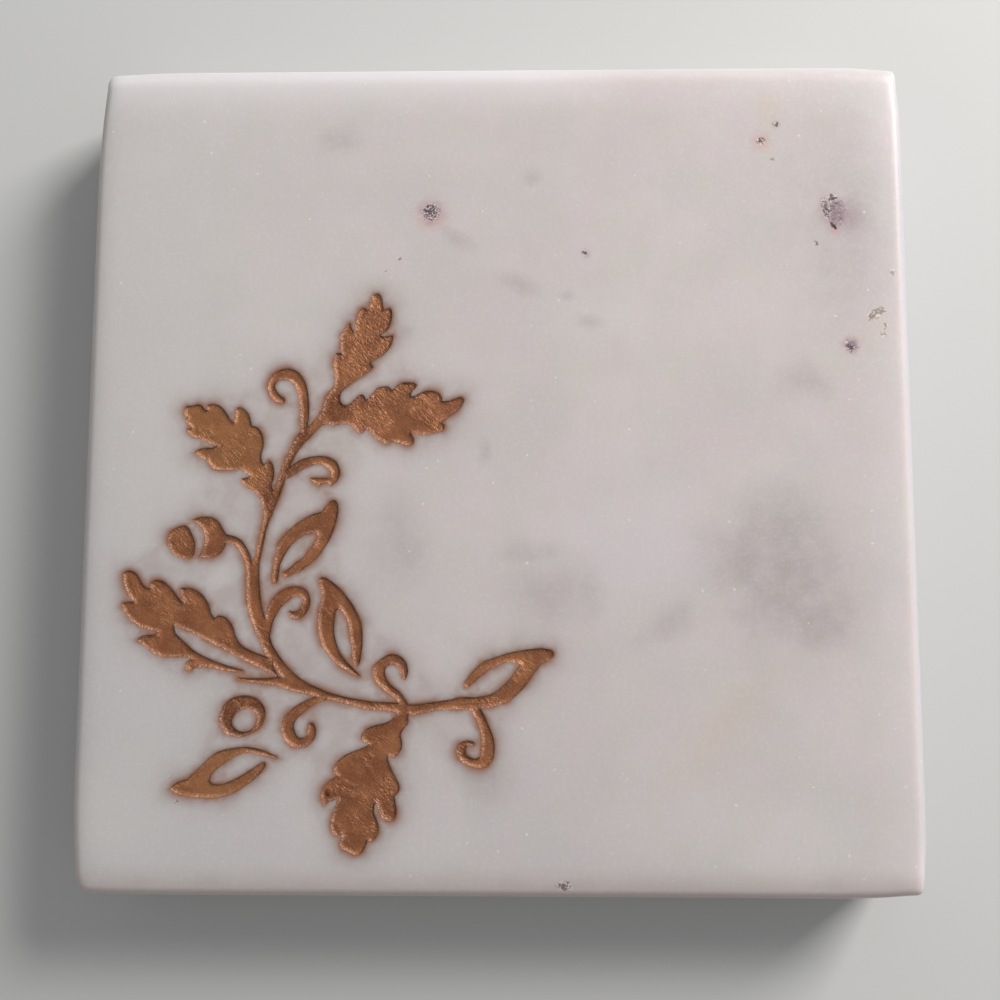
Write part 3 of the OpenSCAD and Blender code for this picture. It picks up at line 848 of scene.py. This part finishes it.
# %% The signal that finishes are written with
class Signal:
    """The output of a node, on which sums and products add Math nodes."""

    def __init__(self, tree, socket):
        self.tree = tree
        self.socket = socket

    def put(self, kind, settings=None, sockets=None, output=0):
        """Adds a node: its settings first, then the value or link of each socket."""
        node = self.tree.nodes.new(kind)
        for name, value in (settings or {}).items():
            setattr(node, name, value)
        for name, value in (sockets or {}).items():
            if isinstance(value, Signal):
                self.tree.links.new(value.socket, node.inputs[name])
            else:
                node.inputs[name].default_value = value
        return Signal(self.tree, node.outputs[output])

    def maths(self, operation, first, second):
        return self.put("ShaderNodeMath", {"operation": operation}, {0: first, 1: second})

    def __add__(self, other):
        return self.maths("ADD", self, other)

    def __radd__(self, other):
        return self.maths("ADD", other, self)

    def __sub__(self, other):
        return self.maths("SUBTRACT", self, other)

    def __rsub__(self, other):
        return self.maths("SUBTRACT", other, self)

    def __mul__(self, other):
        return self.maths("MULTIPLY", self, other)

    def __rmul__(self, other):
        return self.maths("MULTIPLY", other, self)

    def either(self, other):
        """The larger of two masks."""
        return self.maths("MAXIMUM", self, other)

    def fading(self, reach):
        """Falls from 1 at 0 to about a third at the reach, and on towards 0."""
        return self.maths("POWER", math.exp(-1 / reach), self)

    def between(self, low, high):
        """Rises smoothly from 0 at low to 1 at high. It falls where low is above high."""
        settings = {"interpolation_type": "SMOOTHSTEP"}
        start, end = min(low, high), max(low, high)
        ends = {"From Min": start, "From Max": end, "To Min": 0.0, "To Max": 1.0}
        if low > high:
            ends.update({"To Min": 1.0, "To Max": 0.0})
        return self.put("ShaderNodeMapRange", settings, {"Value": self, **ends})

    def part(self, axis):
        """The X, Y or Z of a place."""
        return self.put("ShaderNodeSeparateXYZ", {}, {0: self}, axis)

    def vector(self, operation, other):
        """A sum or product of two places."""
        return self.put("ShaderNodeVectorMath", {"operation": operation}, {0: self, 1: other})

    def kept(self, name):
        """The value that the mesh keeps at each of its points under a name."""
        return self.put("ShaderNodeAttribute", {"attribute_name": name}, {}, "Fac")


# %% Colours, places and noise
def linear(level):
    """The light that one colour level from 0 to 255 stands for."""
    share = level / 255
    return share / 12.92 if share < 0.04045 else ((share + 0.055) / 1.055) ** 2.4


def colour(red, green, blue):
    """A colour, written in the levels that a screen shows."""
    return (linear(red), linear(green), linear(blue), 1.0)


def mixed(mask, under, over):
    """One colour laid over another where the mask is 1."""
    sockets = {0: mask, 6: under, 7: over}
    return mask.put("ShaderNodeMix", {"data_type": "RGBA"}, sockets, output=2)


def cloud(place, size, detail=2.0, roughness=0.5, distortion=0.0):
    """Soft noise whose lumps are about a size across, in millimetres."""
    sockets = {
        "Vector": place,
        "Scale": 1 / size,
        "Detail": detail,
        "Roughness": roughness,
        "Distortion": distortion,
    }
    return place.put("ShaderNodeTexNoise", {}, sockets)


def new_finish(name):
    """A material, its shader, and the place of a point on the piece in millimetres."""
    material = bpy.data.materials.new(name)
    material.use_nodes = True
    tree = material.node_tree
    shader = tree.nodes["Principled BSDF"]
    start = Signal(tree, tree.nodes.new("ShaderNodeTexCoord").outputs["Object"])
    settings = {"operation": "SCALE"}
    place = start.put("ShaderNodeVectorMath", settings, {0: start, "Scale": 1 / mm})
    return material, shader, place


def feed(shader, socket, signal):
    """Links a signal to one of the shader's sockets."""
    signal.tree.links.new(signal.socket, shader.inputs[socket])


def bump(height, distance):
    """A normal from a height that is a share of a distance in metres."""
    sockets = {"Height": height, "Distance": distance, "Strength": 1.0}
    return height.put("ShaderNodeBump", {}, sockets)


def dress(piece, material):
    """Gives a piece one material all over."""
    piece.data.materials.clear()
    piece.data.materials.append(material)


# %% [markdown]
# ## Marble
# The stone is near white, with faint pinkish, sallow and greenish-grey mottling, darker smoky
# clouds towards the right, and a scatter of mineral specks: small packed dark crystals, each in a
# lilac or rusty halo. Light enters it, which is what makes marble look soft, so the shader
# scatters some of the light under the surface. Noise makes the mottling, but the specks and
# smoky clouds are placed one by one, because they are what one would know this slab by.
#
# Beside the cuts the stone is darker and warmer. Two layers fade with the distance from the cut
# that the mesh keeps: a broad grey-brown one, which is painted shade, and a narrow rusty one,
# where paint has seeped in. The back and right rims are whitened, by the wheel and by a painted
# highlight, every rim has a band of painted shade, and the underside is sawn and not honed.

# %% Marks in the marble
# Each row is: x and y from the middle, half width, half length, and turn in degrees.
smoky_clouds = (
    (33.4, -7.2, 8.0, 6.5, 0),
    (28.4, -11.2, 6.5, 6.5, 0),
    (35.6, -12.2, 7.5, 7.5, 0),
    (32.8, -16.2, 7.0, 6.5, 0),
    (38.0, -18.6, 6.5, 5.5, 0),
)
thin_clouds = (
    (34.0, -13.5, 15.0, 14.0, 0),
    (20.6, -18.6, 6.5, 3.0, 39),
    (4.6, -10.6, 7.0, 2.4, 0),
    (11.1, -15.2, 3.2, 5.0, 0),
    (7.0, -15.2, 8.0, 6.0, 0),
    (-12.0, -9.0, 7.0, 9.0, 0),
    (-0.7, -37.6, 5.0, 4.5, 0),
    (37.1, 10.3, 5.0, 4.0, 0),
    (-19.5, 40.8, 4.5, 3.0, 0),
    (42.5, 30.0, 14.0, 22.0, 6),
    (50.0, 49.0, 10.0, 9.0, 0),
)
pale_clouds = (
    (36.0, -44.0, 18.0, 9.0, 0),
    (-50.0, -42.0, 18.0, 12.0, 0),
    (12.0, 18.0, 12.0, 7.0, 0),
)
lilac_milk = ((16.0, -9.0, 21.0, 15.0, -15),)
faint_smudges = (
    (-5.2, 28.3, 4.4, 1.5, -28),
    (2.8, 22.2, 4.6, 1.7, -25),
    (4.3, 35.7, 2.0, 1.9, 0),
    (8.5, 20.9, 1.6, 1.2, 0),
    (11.3, 17.5, 2.6, 1.6, -10),
    (-1.4, 1.8, 1.2, 2.6, 0),
    (-11.2, 16.5, 1.6, 1.4, 0),
)
lilac_halos = (
    (-8.1, 31.5, 2.4, 2.2, 0),
    (41.0, 31.0, 2.4, 3.4, 8),
    (43.0, 30.8, 2.8, 3.0, 0),
    (42.8, 14.6, 1.5, 1.5, 0),
    (34.5, 42.4, 0.9, 0.7, 0),
    (33.9, 37.8, 0.5, 0.4, 0),
    (10.8, 26.1, 0.9, 0.9, 0),
)
rosy_halos = (
    (32.5, 40.2, 1.9, 1.9, 0),
    (41.3, 28.9, 1.0, 1.2, 20),
    (41.0, 31.5, 2.2, 3.0, 8),
    (42.8, 14.6, 1.9, 1.9, 0),
    (-8.1, 31.0, 3.2, 2.8, 0),
)
rusty_stains = (
    (33.6, 44.5, 3.0, 4.5, 0),
    (46.6, 17.0, 3.0, 4.0, 0),
    (26.5, -31.0, 5.0, 15.0, -46),
    (48.1, 23.6, 1.0, 1.0, 0),
    (-8.3, 32.9, 1.5, 0.9, 0),
)
plum_flecks = (
    (-8.15, 31.45, 1.7, 1.6, 0),
    (41.1, 33.0, 1.0, 0.9, -10),
    (40.2, 31.6, 0.7, 1.9, 12),
    (42.6, 14.5, 0.7, 1.1, 20),
)
sparse_flecks = (
    (41.6, 31.0, 1.6, 2.4, 0),
    (42.9, 14.4, 1.1, 1.1, 0),
)
mauve_cores = (
    (41.5, 31.2, 1.7, 2.7, 4),
    (42.9, 14.5, 1.0, 1.1, 0),
)
lilac_hazes = ((44.5, 30.0, 3.5, 6.0, 0),)
brown_flecks = (
    (32.48, 40.22, 0.85, 0.75, 0),
    (34.45, 42.43, 0.70, 0.45, 10),
    (10.78, 26.15, 0.55, 0.52, 0),
    (7.9, -49.1, 1.4, 0.9, 0),
    (-37.4, -39.6, 0.40, 0.26, 40),
)
tan_flecks = (
    (46.3, 18.75, 1.1, 0.85, 20),
    (45.5, 18.15, 1.1, 0.8, 20),
    (46.98, 16.9, 0.55, 0.6, 0),
    (46.75, 15.9, 0.75, 0.6, 0),
    (33.87, 37.84, 0.5, 0.36, 0),
    (38.93, 27.27, 0.3, 0.6, 25),
    (48.1, 23.6, 0.6, 0.6, 0),
    (-12.0, 25.6, 0.42, 0.36, 0),
    (-13.6, 24.1, 0.36, 0.36, 0),
)
oxblood_lens = ((41.1, 29.4, 0.34, 0.85, 38),)


def mark(place, row):
    """A mask over one placed mark: 1 in its middle, fading to 0 at its rim."""
    x, y, half_width, half_length, turn = row
    sockets = {
        "Vector": place,
        "Location": (x, y, top_z / mm),
        "Rotation": (0, 0, math.radians(turn)),
        "Scale": (half_width, half_length, max(half_width, half_length)),
    }
    local = place.put("ShaderNodeMapping", {"vector_type": "TEXTURE"}, sockets)
    length = local.put("ShaderNodeVectorMath", {"operation": "LENGTH"}, {0: local}, "Value")
    return length.between(1.0, 0.0)


def marks(place, rows):
    """One mask over all the marks of a kind."""
    mask = mark(place, rows[0])
    for row in rows[1:]:
        mask = mask.either(mark(place, row))
    return mask


all_flecks = plum_flecks + brown_flecks + tan_flecks + oxblood_lens
print(len(all_flecks), "patches of flecks and", len(smoky_clouds), "smoky clouds are placed")

# %% Colours of the marble
warm_stone = colour(209, 199, 197)
pink_stone = colour(202, 190, 190)
green_stone = colour(196, 191, 188)
sallow_stone = colour(200, 195, 184)
pale_stone = colour(204, 200, 197)
cool_stone = colour(190, 188, 189)
milky_stone = colour(212, 208, 203)
lilac_stone = colour(212, 203, 206)
smoke = colour(165, 156, 154)
lilac = colour(172, 152, 158)
rose = colour(205, 172, 168)
rust = colour(206, 188, 170)
plum = colour(84, 64, 70)
mauve = colour(146, 128, 137)
brown = colour(82, 52, 40)
tan = colour(142, 121, 104)
oxblood = colour(72, 18, 24)
crystal_glint = colour(244, 242, 240)
shaded_stone = colour(161, 143, 138)
stain = colour(161, 104, 72)
whitening_and_sheen_white = colour(224, 220, 222)
# The four rim colours below are painted shade: darker bands along the rims of the slab.
right_rim_painted_shade = colour(156, 158, 170)
back_rim_painted_shade = colour(176, 175, 181)
left_rim_painted_shade = colour(156, 148, 146)
front_rim_painted_shade = colour(164, 142, 131)

# Each row is: colour, share, step aside in the noise, lump size, and where it starts and is full.
mottling = (
    (pink_stone, 0.50, (0, 0, 0), 13, 0.36, 0.66),
    (green_stone, 0.50, (40, 0, 0), 9, 0.42, 0.74),
    (sallow_stone, 0.35, (0, 80, 0), 6, 0.42, 0.68),
)
# Each row is: painted shade's colour, share, axis, and where on it the shade starts and is full.
painted_rim_shades = (
    (right_rim_painted_shade, 0.60, "X", 48.8, 49.9),
    (back_rim_painted_shade, 0.42, "Y", 48.2, 50.2),
    (left_rim_painted_shade, 0.35, "X", -46.5, -50.5),
    (front_rim_painted_shade, 0.42, "Y", -46.3, -50.5),
)
# Each row is: distance between glinting pale grains, their radius, and their share.
glinting_grains = ((2.0, 0.13, 0.35), (3.2, 0.21, 0.45))
fleck_size = 0.30
print(len(mottling), "tints in the ground,", len(painted_rim_shades), "along the rims")


# %% Ground and clouds of the marble
def wandering(place, size, reach):
    """The place, pushed about by noise so that a round mark gets a ragged rim."""
    sockets = {"Vector": place, "Scale": 1 / size, "Detail": 3.0}
    push = place.put("ShaderNodeTexNoise", {}, sockets, "Color").vector("SUBTRACT", (0.5,) * 3)
    return place.vector("ADD", push.vector("MULTIPLY", (reach,) * 3))


def mottled(place):
    """The ground: tints in lumps, paler towards the left and cooler towards the front."""
    tint = warm_stone
    for shade, share, aside, size, low, high in mottling:
        lumps = cloud(place.vector("ADD", aside), size, 3.0)
        tint = mixed(lumps.between(low, high) * share, tint, shade)
    sideways = place.part("X")
    slanting = sideways * 0.5 + place.part("Y")
    tint = mixed(sideways.between(10, -60) * 0.8, tint, pale_stone)
    return mixed(slanting.between(10, -75) * 0.4, tint, cool_stone)


def clouded(place, tint):
    """Lays the clouds, the smudges, the rust and the halos of the specks over the ground."""
    ragged = wandering(place, 5, 4)
    hazy = wandering(place, 2.5, 1.6)
    rough = wandering(place, 1.2, 1.3)
    wisps = cloud(place, 2.4, 4.0, 0.6).between(0.32, 0.68) * 0.5 + 0.75
    tint = mixed(marks(ragged, lilac_milk) * 0.55, tint, lilac_stone)
    tint = mixed(marks(ragged, pale_clouds) * 0.40, tint, milky_stone)
    tint = mixed(marks(ragged, thin_clouds) * wisps * 0.32, tint, smoke)
    tint = mixed(marks(ragged, smoky_clouds) * wisps * 0.38, tint, smoke)
    tint = mixed(marks(hazy, faint_smudges) * 0.32, tint, smoke)
    tint = mixed(marks(hazy, rusty_stains) * 0.34, tint, rust)
    tint = mixed(marks(rough, rosy_halos) * 0.80, tint, rose)
    tint = mixed(marks(ragged, lilac_hazes) * 0.25, tint, lilac)
    return mixed(marks(rough, lilac_halos) * 0.75, tint, lilac)


# %% Flecks, stains and rims of the marble
def flecked(place, facets, tint):
    """Packs dark crystals into specks, strews pale grains, and paints glints on crystal faces."""
    grit = wandering(place, 0.5, 0.5)
    packed = cloud(place, fleck_size, 2.0, 0.6, 0.8)
    cores = marks(grit, mauve_cores).between(0.1, 0.6) * packed.between(0.30, 0.50)
    tint = mixed(cores * 0.75, tint, mauve)
    sparse = marks(grit, sparse_flecks).between(0.0, 0.3) * packed.between(0.54, 0.62)
    tint = mixed(sparse * 0.5, tint, plum)
    for rows, fleck in ((plum_flecks, plum), (brown_flecks, brown), (tan_flecks, tan)):
        patch = marks(grit, rows)
        grains = (packed + patch * 0.30).between(0.62, 0.72) * patch.between(0.0, 0.12)
        # The gleam is a painted glint among the dark crystals.
        gleam = packed.between(0.47, 0.42) * patch.between(0.1, 0.3)
        tint = mixed(grains * 0.85, tint, fleck)
        tint = mixed(gleam * 0.4, tint, crystal_glint)
    tint = mixed(marks(grit, oxblood_lens).between(0.15, 0.5) * 0.92, tint, oxblood)
    # A faint painted glint on crystal faces all over the stone.
    tint = mixed(facets.between(0.45, 0.75) * 0.08, tint, crystal_glint)
    # Pale grains with a painted glint.
    for size, radius, share in glinting_grains:
        sockets = {"Vector": grit, "Scale": 1 / size}
        grains = grit.put("ShaderNodeTexVoronoi", {"feature": "F1"}, sockets)
        tint = mixed(grains.between(radius / size, radius / size * 0.35) * share, tint, crystal_glint)
    return tint


def shade_and_stain(place, tint):
    """Lays painted shade beside the cuts, and warms the stone close to them where paint seeped."""
    gap = place.kept("from_cut")
    shade_and_seep = cloud(place, 2.6, 3.0).between(0.32, 0.68)
    # The broad grey-brown layer is painted shade beside the cuts; the narrow one is seeped paint.
    tint = mixed(gap.fading(1.05) * (0.58 + shade_and_seep * 0.55), tint, shaded_stone)
    return mixed(gap.fading(0.34) * (0.45 + shade_and_seep * 0.72), tint, stain)


def rimmed(place, tint):
    """Adds the whitening and painted highlight of the back and right rims, and painted rim shade.
    """
    # Wheel whitening and a painted highlight on the lit back and right rims.
    tint = mixed(place.kept("whitening_and_sheen") * 0.68, tint, whitening_and_sheen_white)
    # Painted shade along each rim.
    for shade, share, axis, low, high in painted_rim_shades:
        tint = mixed(place.part(axis).between(low, high) * share, tint, shade)
    return tint


# %% The marble's finish
marble_body = {
    "Subsurface Weight": 0.8,
    "Subsurface Radius": (1.0, 0.84, 0.75),
    "Subsurface Scale": 2.6 * mm,
    "IOR": 1.49,
    "Specular IOR Level": 0.3,
}
saw_pitch = (0.04, 1, 0)
stone_grain = 0.02 * mm


def marble_finish():
    material, shader, place = new_finish("honed_marble")
    facets = cloud(place, 0.45, 1.0, 0.5)
    tint = flecked(place, facets, clouded(place, mottled(place)))
    tint = rimmed(place, shade_and_stain(place, tint))
    feed(shader, "Base Color", tint)
    feed(shader, "Roughness", 0.28 + facets * 0.12 + place.kept("whitening_and_sheen") * 0.1)
    sawn = cloud(place.vector("MULTIPLY", saw_pitch), 0.7, 3.0) * place.part("Z").between(2.4, 1.8)
    grain = cloud(place, 0.22, 2.0) * 0.35 + cloud(place, 4.0, 1.0) + sawn * 2
    feed(shader, "Normal", bump(grain, stone_grain))
    for socket, value in marble_body.items():
        shader.inputs[socket].default_value = value
    print("the marble's finish has", len(material.node_tree.nodes), "nodes")
    return material


dress(slab, marble_finish())

# %% [markdown]
# ## Copper paint
# The paint is brown with fine copper flakes in it. It dried in shallow ripples that run from
# upper left to lower right, with a painted highlight on their crests and painted shade in their
# hollows. The walls that face the lamp get a painted highlight, paler and with glinting flakes,
# and the walls behind get painted shade, which draws a dark line along the upper right of every
# leaf. Each film keeps the distance from its outline and how far its wall faces the lamp as
# attributes, and these two place the bright and the dark edge. The wrinkled leaves, golden
# strokes, dirty strokes and pits lie where the real brush left them.

# %% The paint's finish
copper = colour(159, 99, 60)
deep_copper_and_hollow_shade = colour(135, 79, 45)
golden_copper = colour(178, 124, 76)
crest_highlight_copper = colour(182, 128, 84)
lit_wall_sheen_copper = colour(150, 122, 106)
flake_glint_peach = colour(246, 220, 198)
dirt_and_shade = colour(84, 38, 20)
metal_share = 0.40
paint_relief = 0.45 * mm
wrinkled_leaves = ((-9.0, 16.0, 17.0, 13.0, 0),)
dirty_strokes = (
    (-25.6, 0.0, 3.0, 8.5, -24),
    (-19.5, 7.0, 4.0, 2.6, 25),
    (-30.2, -29.6, 4.0, 4.0, 0),
)
golden_strokes = (
    (-33.0, 3.0, 11.0, 11.0, 0),
    (-31.0, -37.0, 11.0, 7.0, 20),
)
brush_pits = (
    (-37.6, 5.9, 0.42, 0.26, 30),
    (-37.2, 4.6, 0.36, 0.28, 20),
    (-35.3, 6.8, 0.46, 0.22, -30),
    (-19.8, -38.6, 0.50, 0.80, 20),
)


def copper_finish():
    material, shader, place = new_finish("brushed_copper_paint")
    sockets = {"Vector": place, "Rotation": (0, 0, ripple_turn), "Scale": (1.0, 0.5, 1.0)}
    along = place.put("ShaderNodeMapping", {"vector_type": "TEXTURE"}, sockets)
    ripple = cloud(along, 0.70, 3.0, 0.60, 1.2)
    wrinkled = marks(place, wrinkled_leaves).between(0.0, 0.6)
    strength = cloud(place, 3.2, 2.0).between(0.46, 0.64) * 0.32 + 0.10 + wrinkled * 0.40
    speckle = cloud(place, 0.19, 2.0, 0.75)
    pitted = cloud(place.vector("ADD", (0, 60, 0)), 0.24, 2.0, 0.7)
    deep = cloud(place.vector("ADD", (0, 0, 30)), 3.2, 2.0).between(0.35, 0.65)
    golden = marks(place, golden_strokes).between(0.0, 0.6)
    dirty = marks(place, dirty_strokes).between(0.0, 0.6) * pitted.between(0.62, 0.40)
    tint = mixed(deep, copper, deep_copper_and_hollow_shade)
    tint = mixed(golden * 0.3, tint, golden_copper)
    tint = mixed(dirty * 0.6, tint, dirt_and_shade)
    # Painted highlight on the crests of the ripples and painted shade in their hollows.
    tint = mixed(ripple.between(0.54, 0.70) * strength * 0.5, tint, crest_highlight_copper)
    tint = mixed(ripple.between(0.44, 0.30) * strength * 0.6, tint, deep_copper_and_hollow_shade)
    gap = place.kept("from_edge")
    side = place.kept("faces_lamp")
    wall = gap.between(0.55, 0.12)
    # Painted highlight on walls that face the lamp, painted shade on the walls behind them.
    lamp_facing_wall = side.between(-0.1, 0.8) * wall
    shaded_wall = side.between(0.4, -0.5) * gap.between(0.20, 0.08)
    smear = cloud(place, 0.5, 2.0).between(0.25, 0.75)
    patchy = cloud(place, 2.0, 3.0).between(0.40, 0.60)
    flake_glints = speckle.between(0.50, 0.61)
    pits = marks(place, brush_pits).between(0.0, 0.4) * smear.either(pitted)
    # A paler painted sheen on the walls that face the lamp.
    tint = mixed(lamp_facing_wall * 0.20, tint, lit_wall_sheen_copper)
    # The flakes carry a painted glint, strongest on the walls that face the lamp.
    tint = mixed(flake_glints * (0.07 + wall * 0.12 + lamp_facing_wall * 0.14), tint, flake_glint_peach)
    tint = mixed(pitted.between(0.36, 0.26) * (0.22 + wall * 0.5), tint, dirt_and_shade)
    tint = mixed(shaded_wall * (patchy * 0.54 + smear * 0.14), tint, dirt_and_shade)
    # A thin dark line at the very edge: partly dirt, partly painted shade where paint meets wall.
    tint = mixed(gap.between(0.07, 0.02) * (0.10 + smear * 0.35), tint, dirt_and_shade)
    tint = mixed(pits * 0.9, tint, dirt_and_shade)
    feed(shader, "Base Color", tint)
    feed(shader, "Roughness", 0.34 + speckle * 0.16 + lamp_facing_wall * 0.22)
    relief = ripple * strength + speckle * (0.03 + wall * 0.08 + lamp_facing_wall * 0.10)
    feed(shader, "Normal", bump(relief, paint_relief))
    shader.inputs["Metallic"].default_value = metal_share
    print("the paint's finish has", len(material.node_tree.nodes), "nodes")
    return material


paint = copper_finish()
for film in copper_films:
    dress(film, paint)

# %% [markdown]
# ## Rubber and adhesive
# The bumpers are dark moulded rubber: a fine even grain, and a little grey dust where they are
# rubbed. The adhesive discs between bumper and stone are milky foam tape with tiny bubbles. The
# discs are plain in the CAD model because they really are plain, so they keep their CAD shape
# and only get the finish.

# %% Finish the feet and their discs
rubber_black = colour(52, 52, 54)
rubber_dust = colour(92, 90, 88)
tape_milky = colour(216, 213, 203)
tape_bubble = colour(188, 184, 172)


def rubber_finish():
    material, shader, place = new_finish("moulded_rubber")
    grain = cloud(place, 0.12, 2.0, 0.6)
    dust = cloud(place, 1.4, 3.0, 0.6)
    feed(shader, "Base Color", mixed(dust.between(0.50, 0.72) * 0.6, rubber_black, rubber_dust))
    feed(shader, "Roughness", 0.62 + grain * 0.25)
    feed(shader, "Normal", bump(grain, 0.03 * mm))
    return material


def tape_finish():
    material, shader, place = new_finish("foam_tape")
    bubbles = place.put("ShaderNodeTexVoronoi", {}, {"Vector": place, "Scale": 7.0})
    pit = bubbles.between(0.45, 0.15)
    feed(shader, "Base Color", mixed(pit * 0.7, tape_milky, tape_bubble))
    feed(shader, "Roughness", 0.70 - pit * 0.2)
    feed(shader, "Normal", bump(1 - pit, 0.02 * mm))
    return material


rubber = rubber_finish()
for foot in bumpers:
    dress(foot, rubber)
tape = tape_finish()
for node in pad_nodes:
    dress(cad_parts[node], tape)

# %% [markdown]
# ## Floor and light
# The coaster stands on a plain pale floor. One broad lamp up and to the right at the back makes
# the soft shadow at the front left and the bright far edges that the photograph has, and the
# world fills the rest. The lamps stay at a level where a colour renders about as it is written.

# %% Set the stage
floor_size = 6.0
floor_colour = colour(200, 199, 196)
lamp_place = (430 * mm, 400 * mm, 330 * mm)
lamp_size = 280 * mm
lamp_watts = 6.0
lamp_colour = (1.0, 0.99, 0.985)
sky_colour = colour(240, 243, 246)
sky_strength = 0.392

bpy.ops.object.select_all(action="DESELECT")
bpy.ops.mesh.primitive_plane_add(size=floor_size)
floor = bpy.context.object
floor.name = "floor"
floor_finish, floor_shader, _ = new_finish("floor")
floor_shader.inputs["Base Color"].default_value = floor_colour
floor_shader.inputs["Roughness"].default_value = 0.7
dress(floor, floor_finish)

lamp_data = bpy.data.lights.new("softbox", "AREA")
lamp_data.shape = "SQUARE"
lamp_data.size = lamp_size
lamp_data.energy = lamp_watts
lamp_data.color = lamp_colour
lamp = bpy.data.objects.new("softbox", lamp_data)
lamp.location = lamp_place
lamp.visible_camera = False
lamp.rotation_euler = (-Vector(lamp_place)).to_track_quat("-Z", "Y").to_euler()
bpy.context.scene.collection.objects.link(lamp)

world = bpy.data.worlds.new("studio")
world.use_nodes = True
bpy.context.scene.world = world
sky = world.node_tree.nodes["Background"]
sky.inputs["Color"].default_value = sky_colour
sky.inputs["Strength"].default_value = sky_strength
bpy.context.scene.view_settings.view_transform = "Standard"
print("lamp", [round(c / mm) for c in lamp_place], "mm, sky", sky_strength)
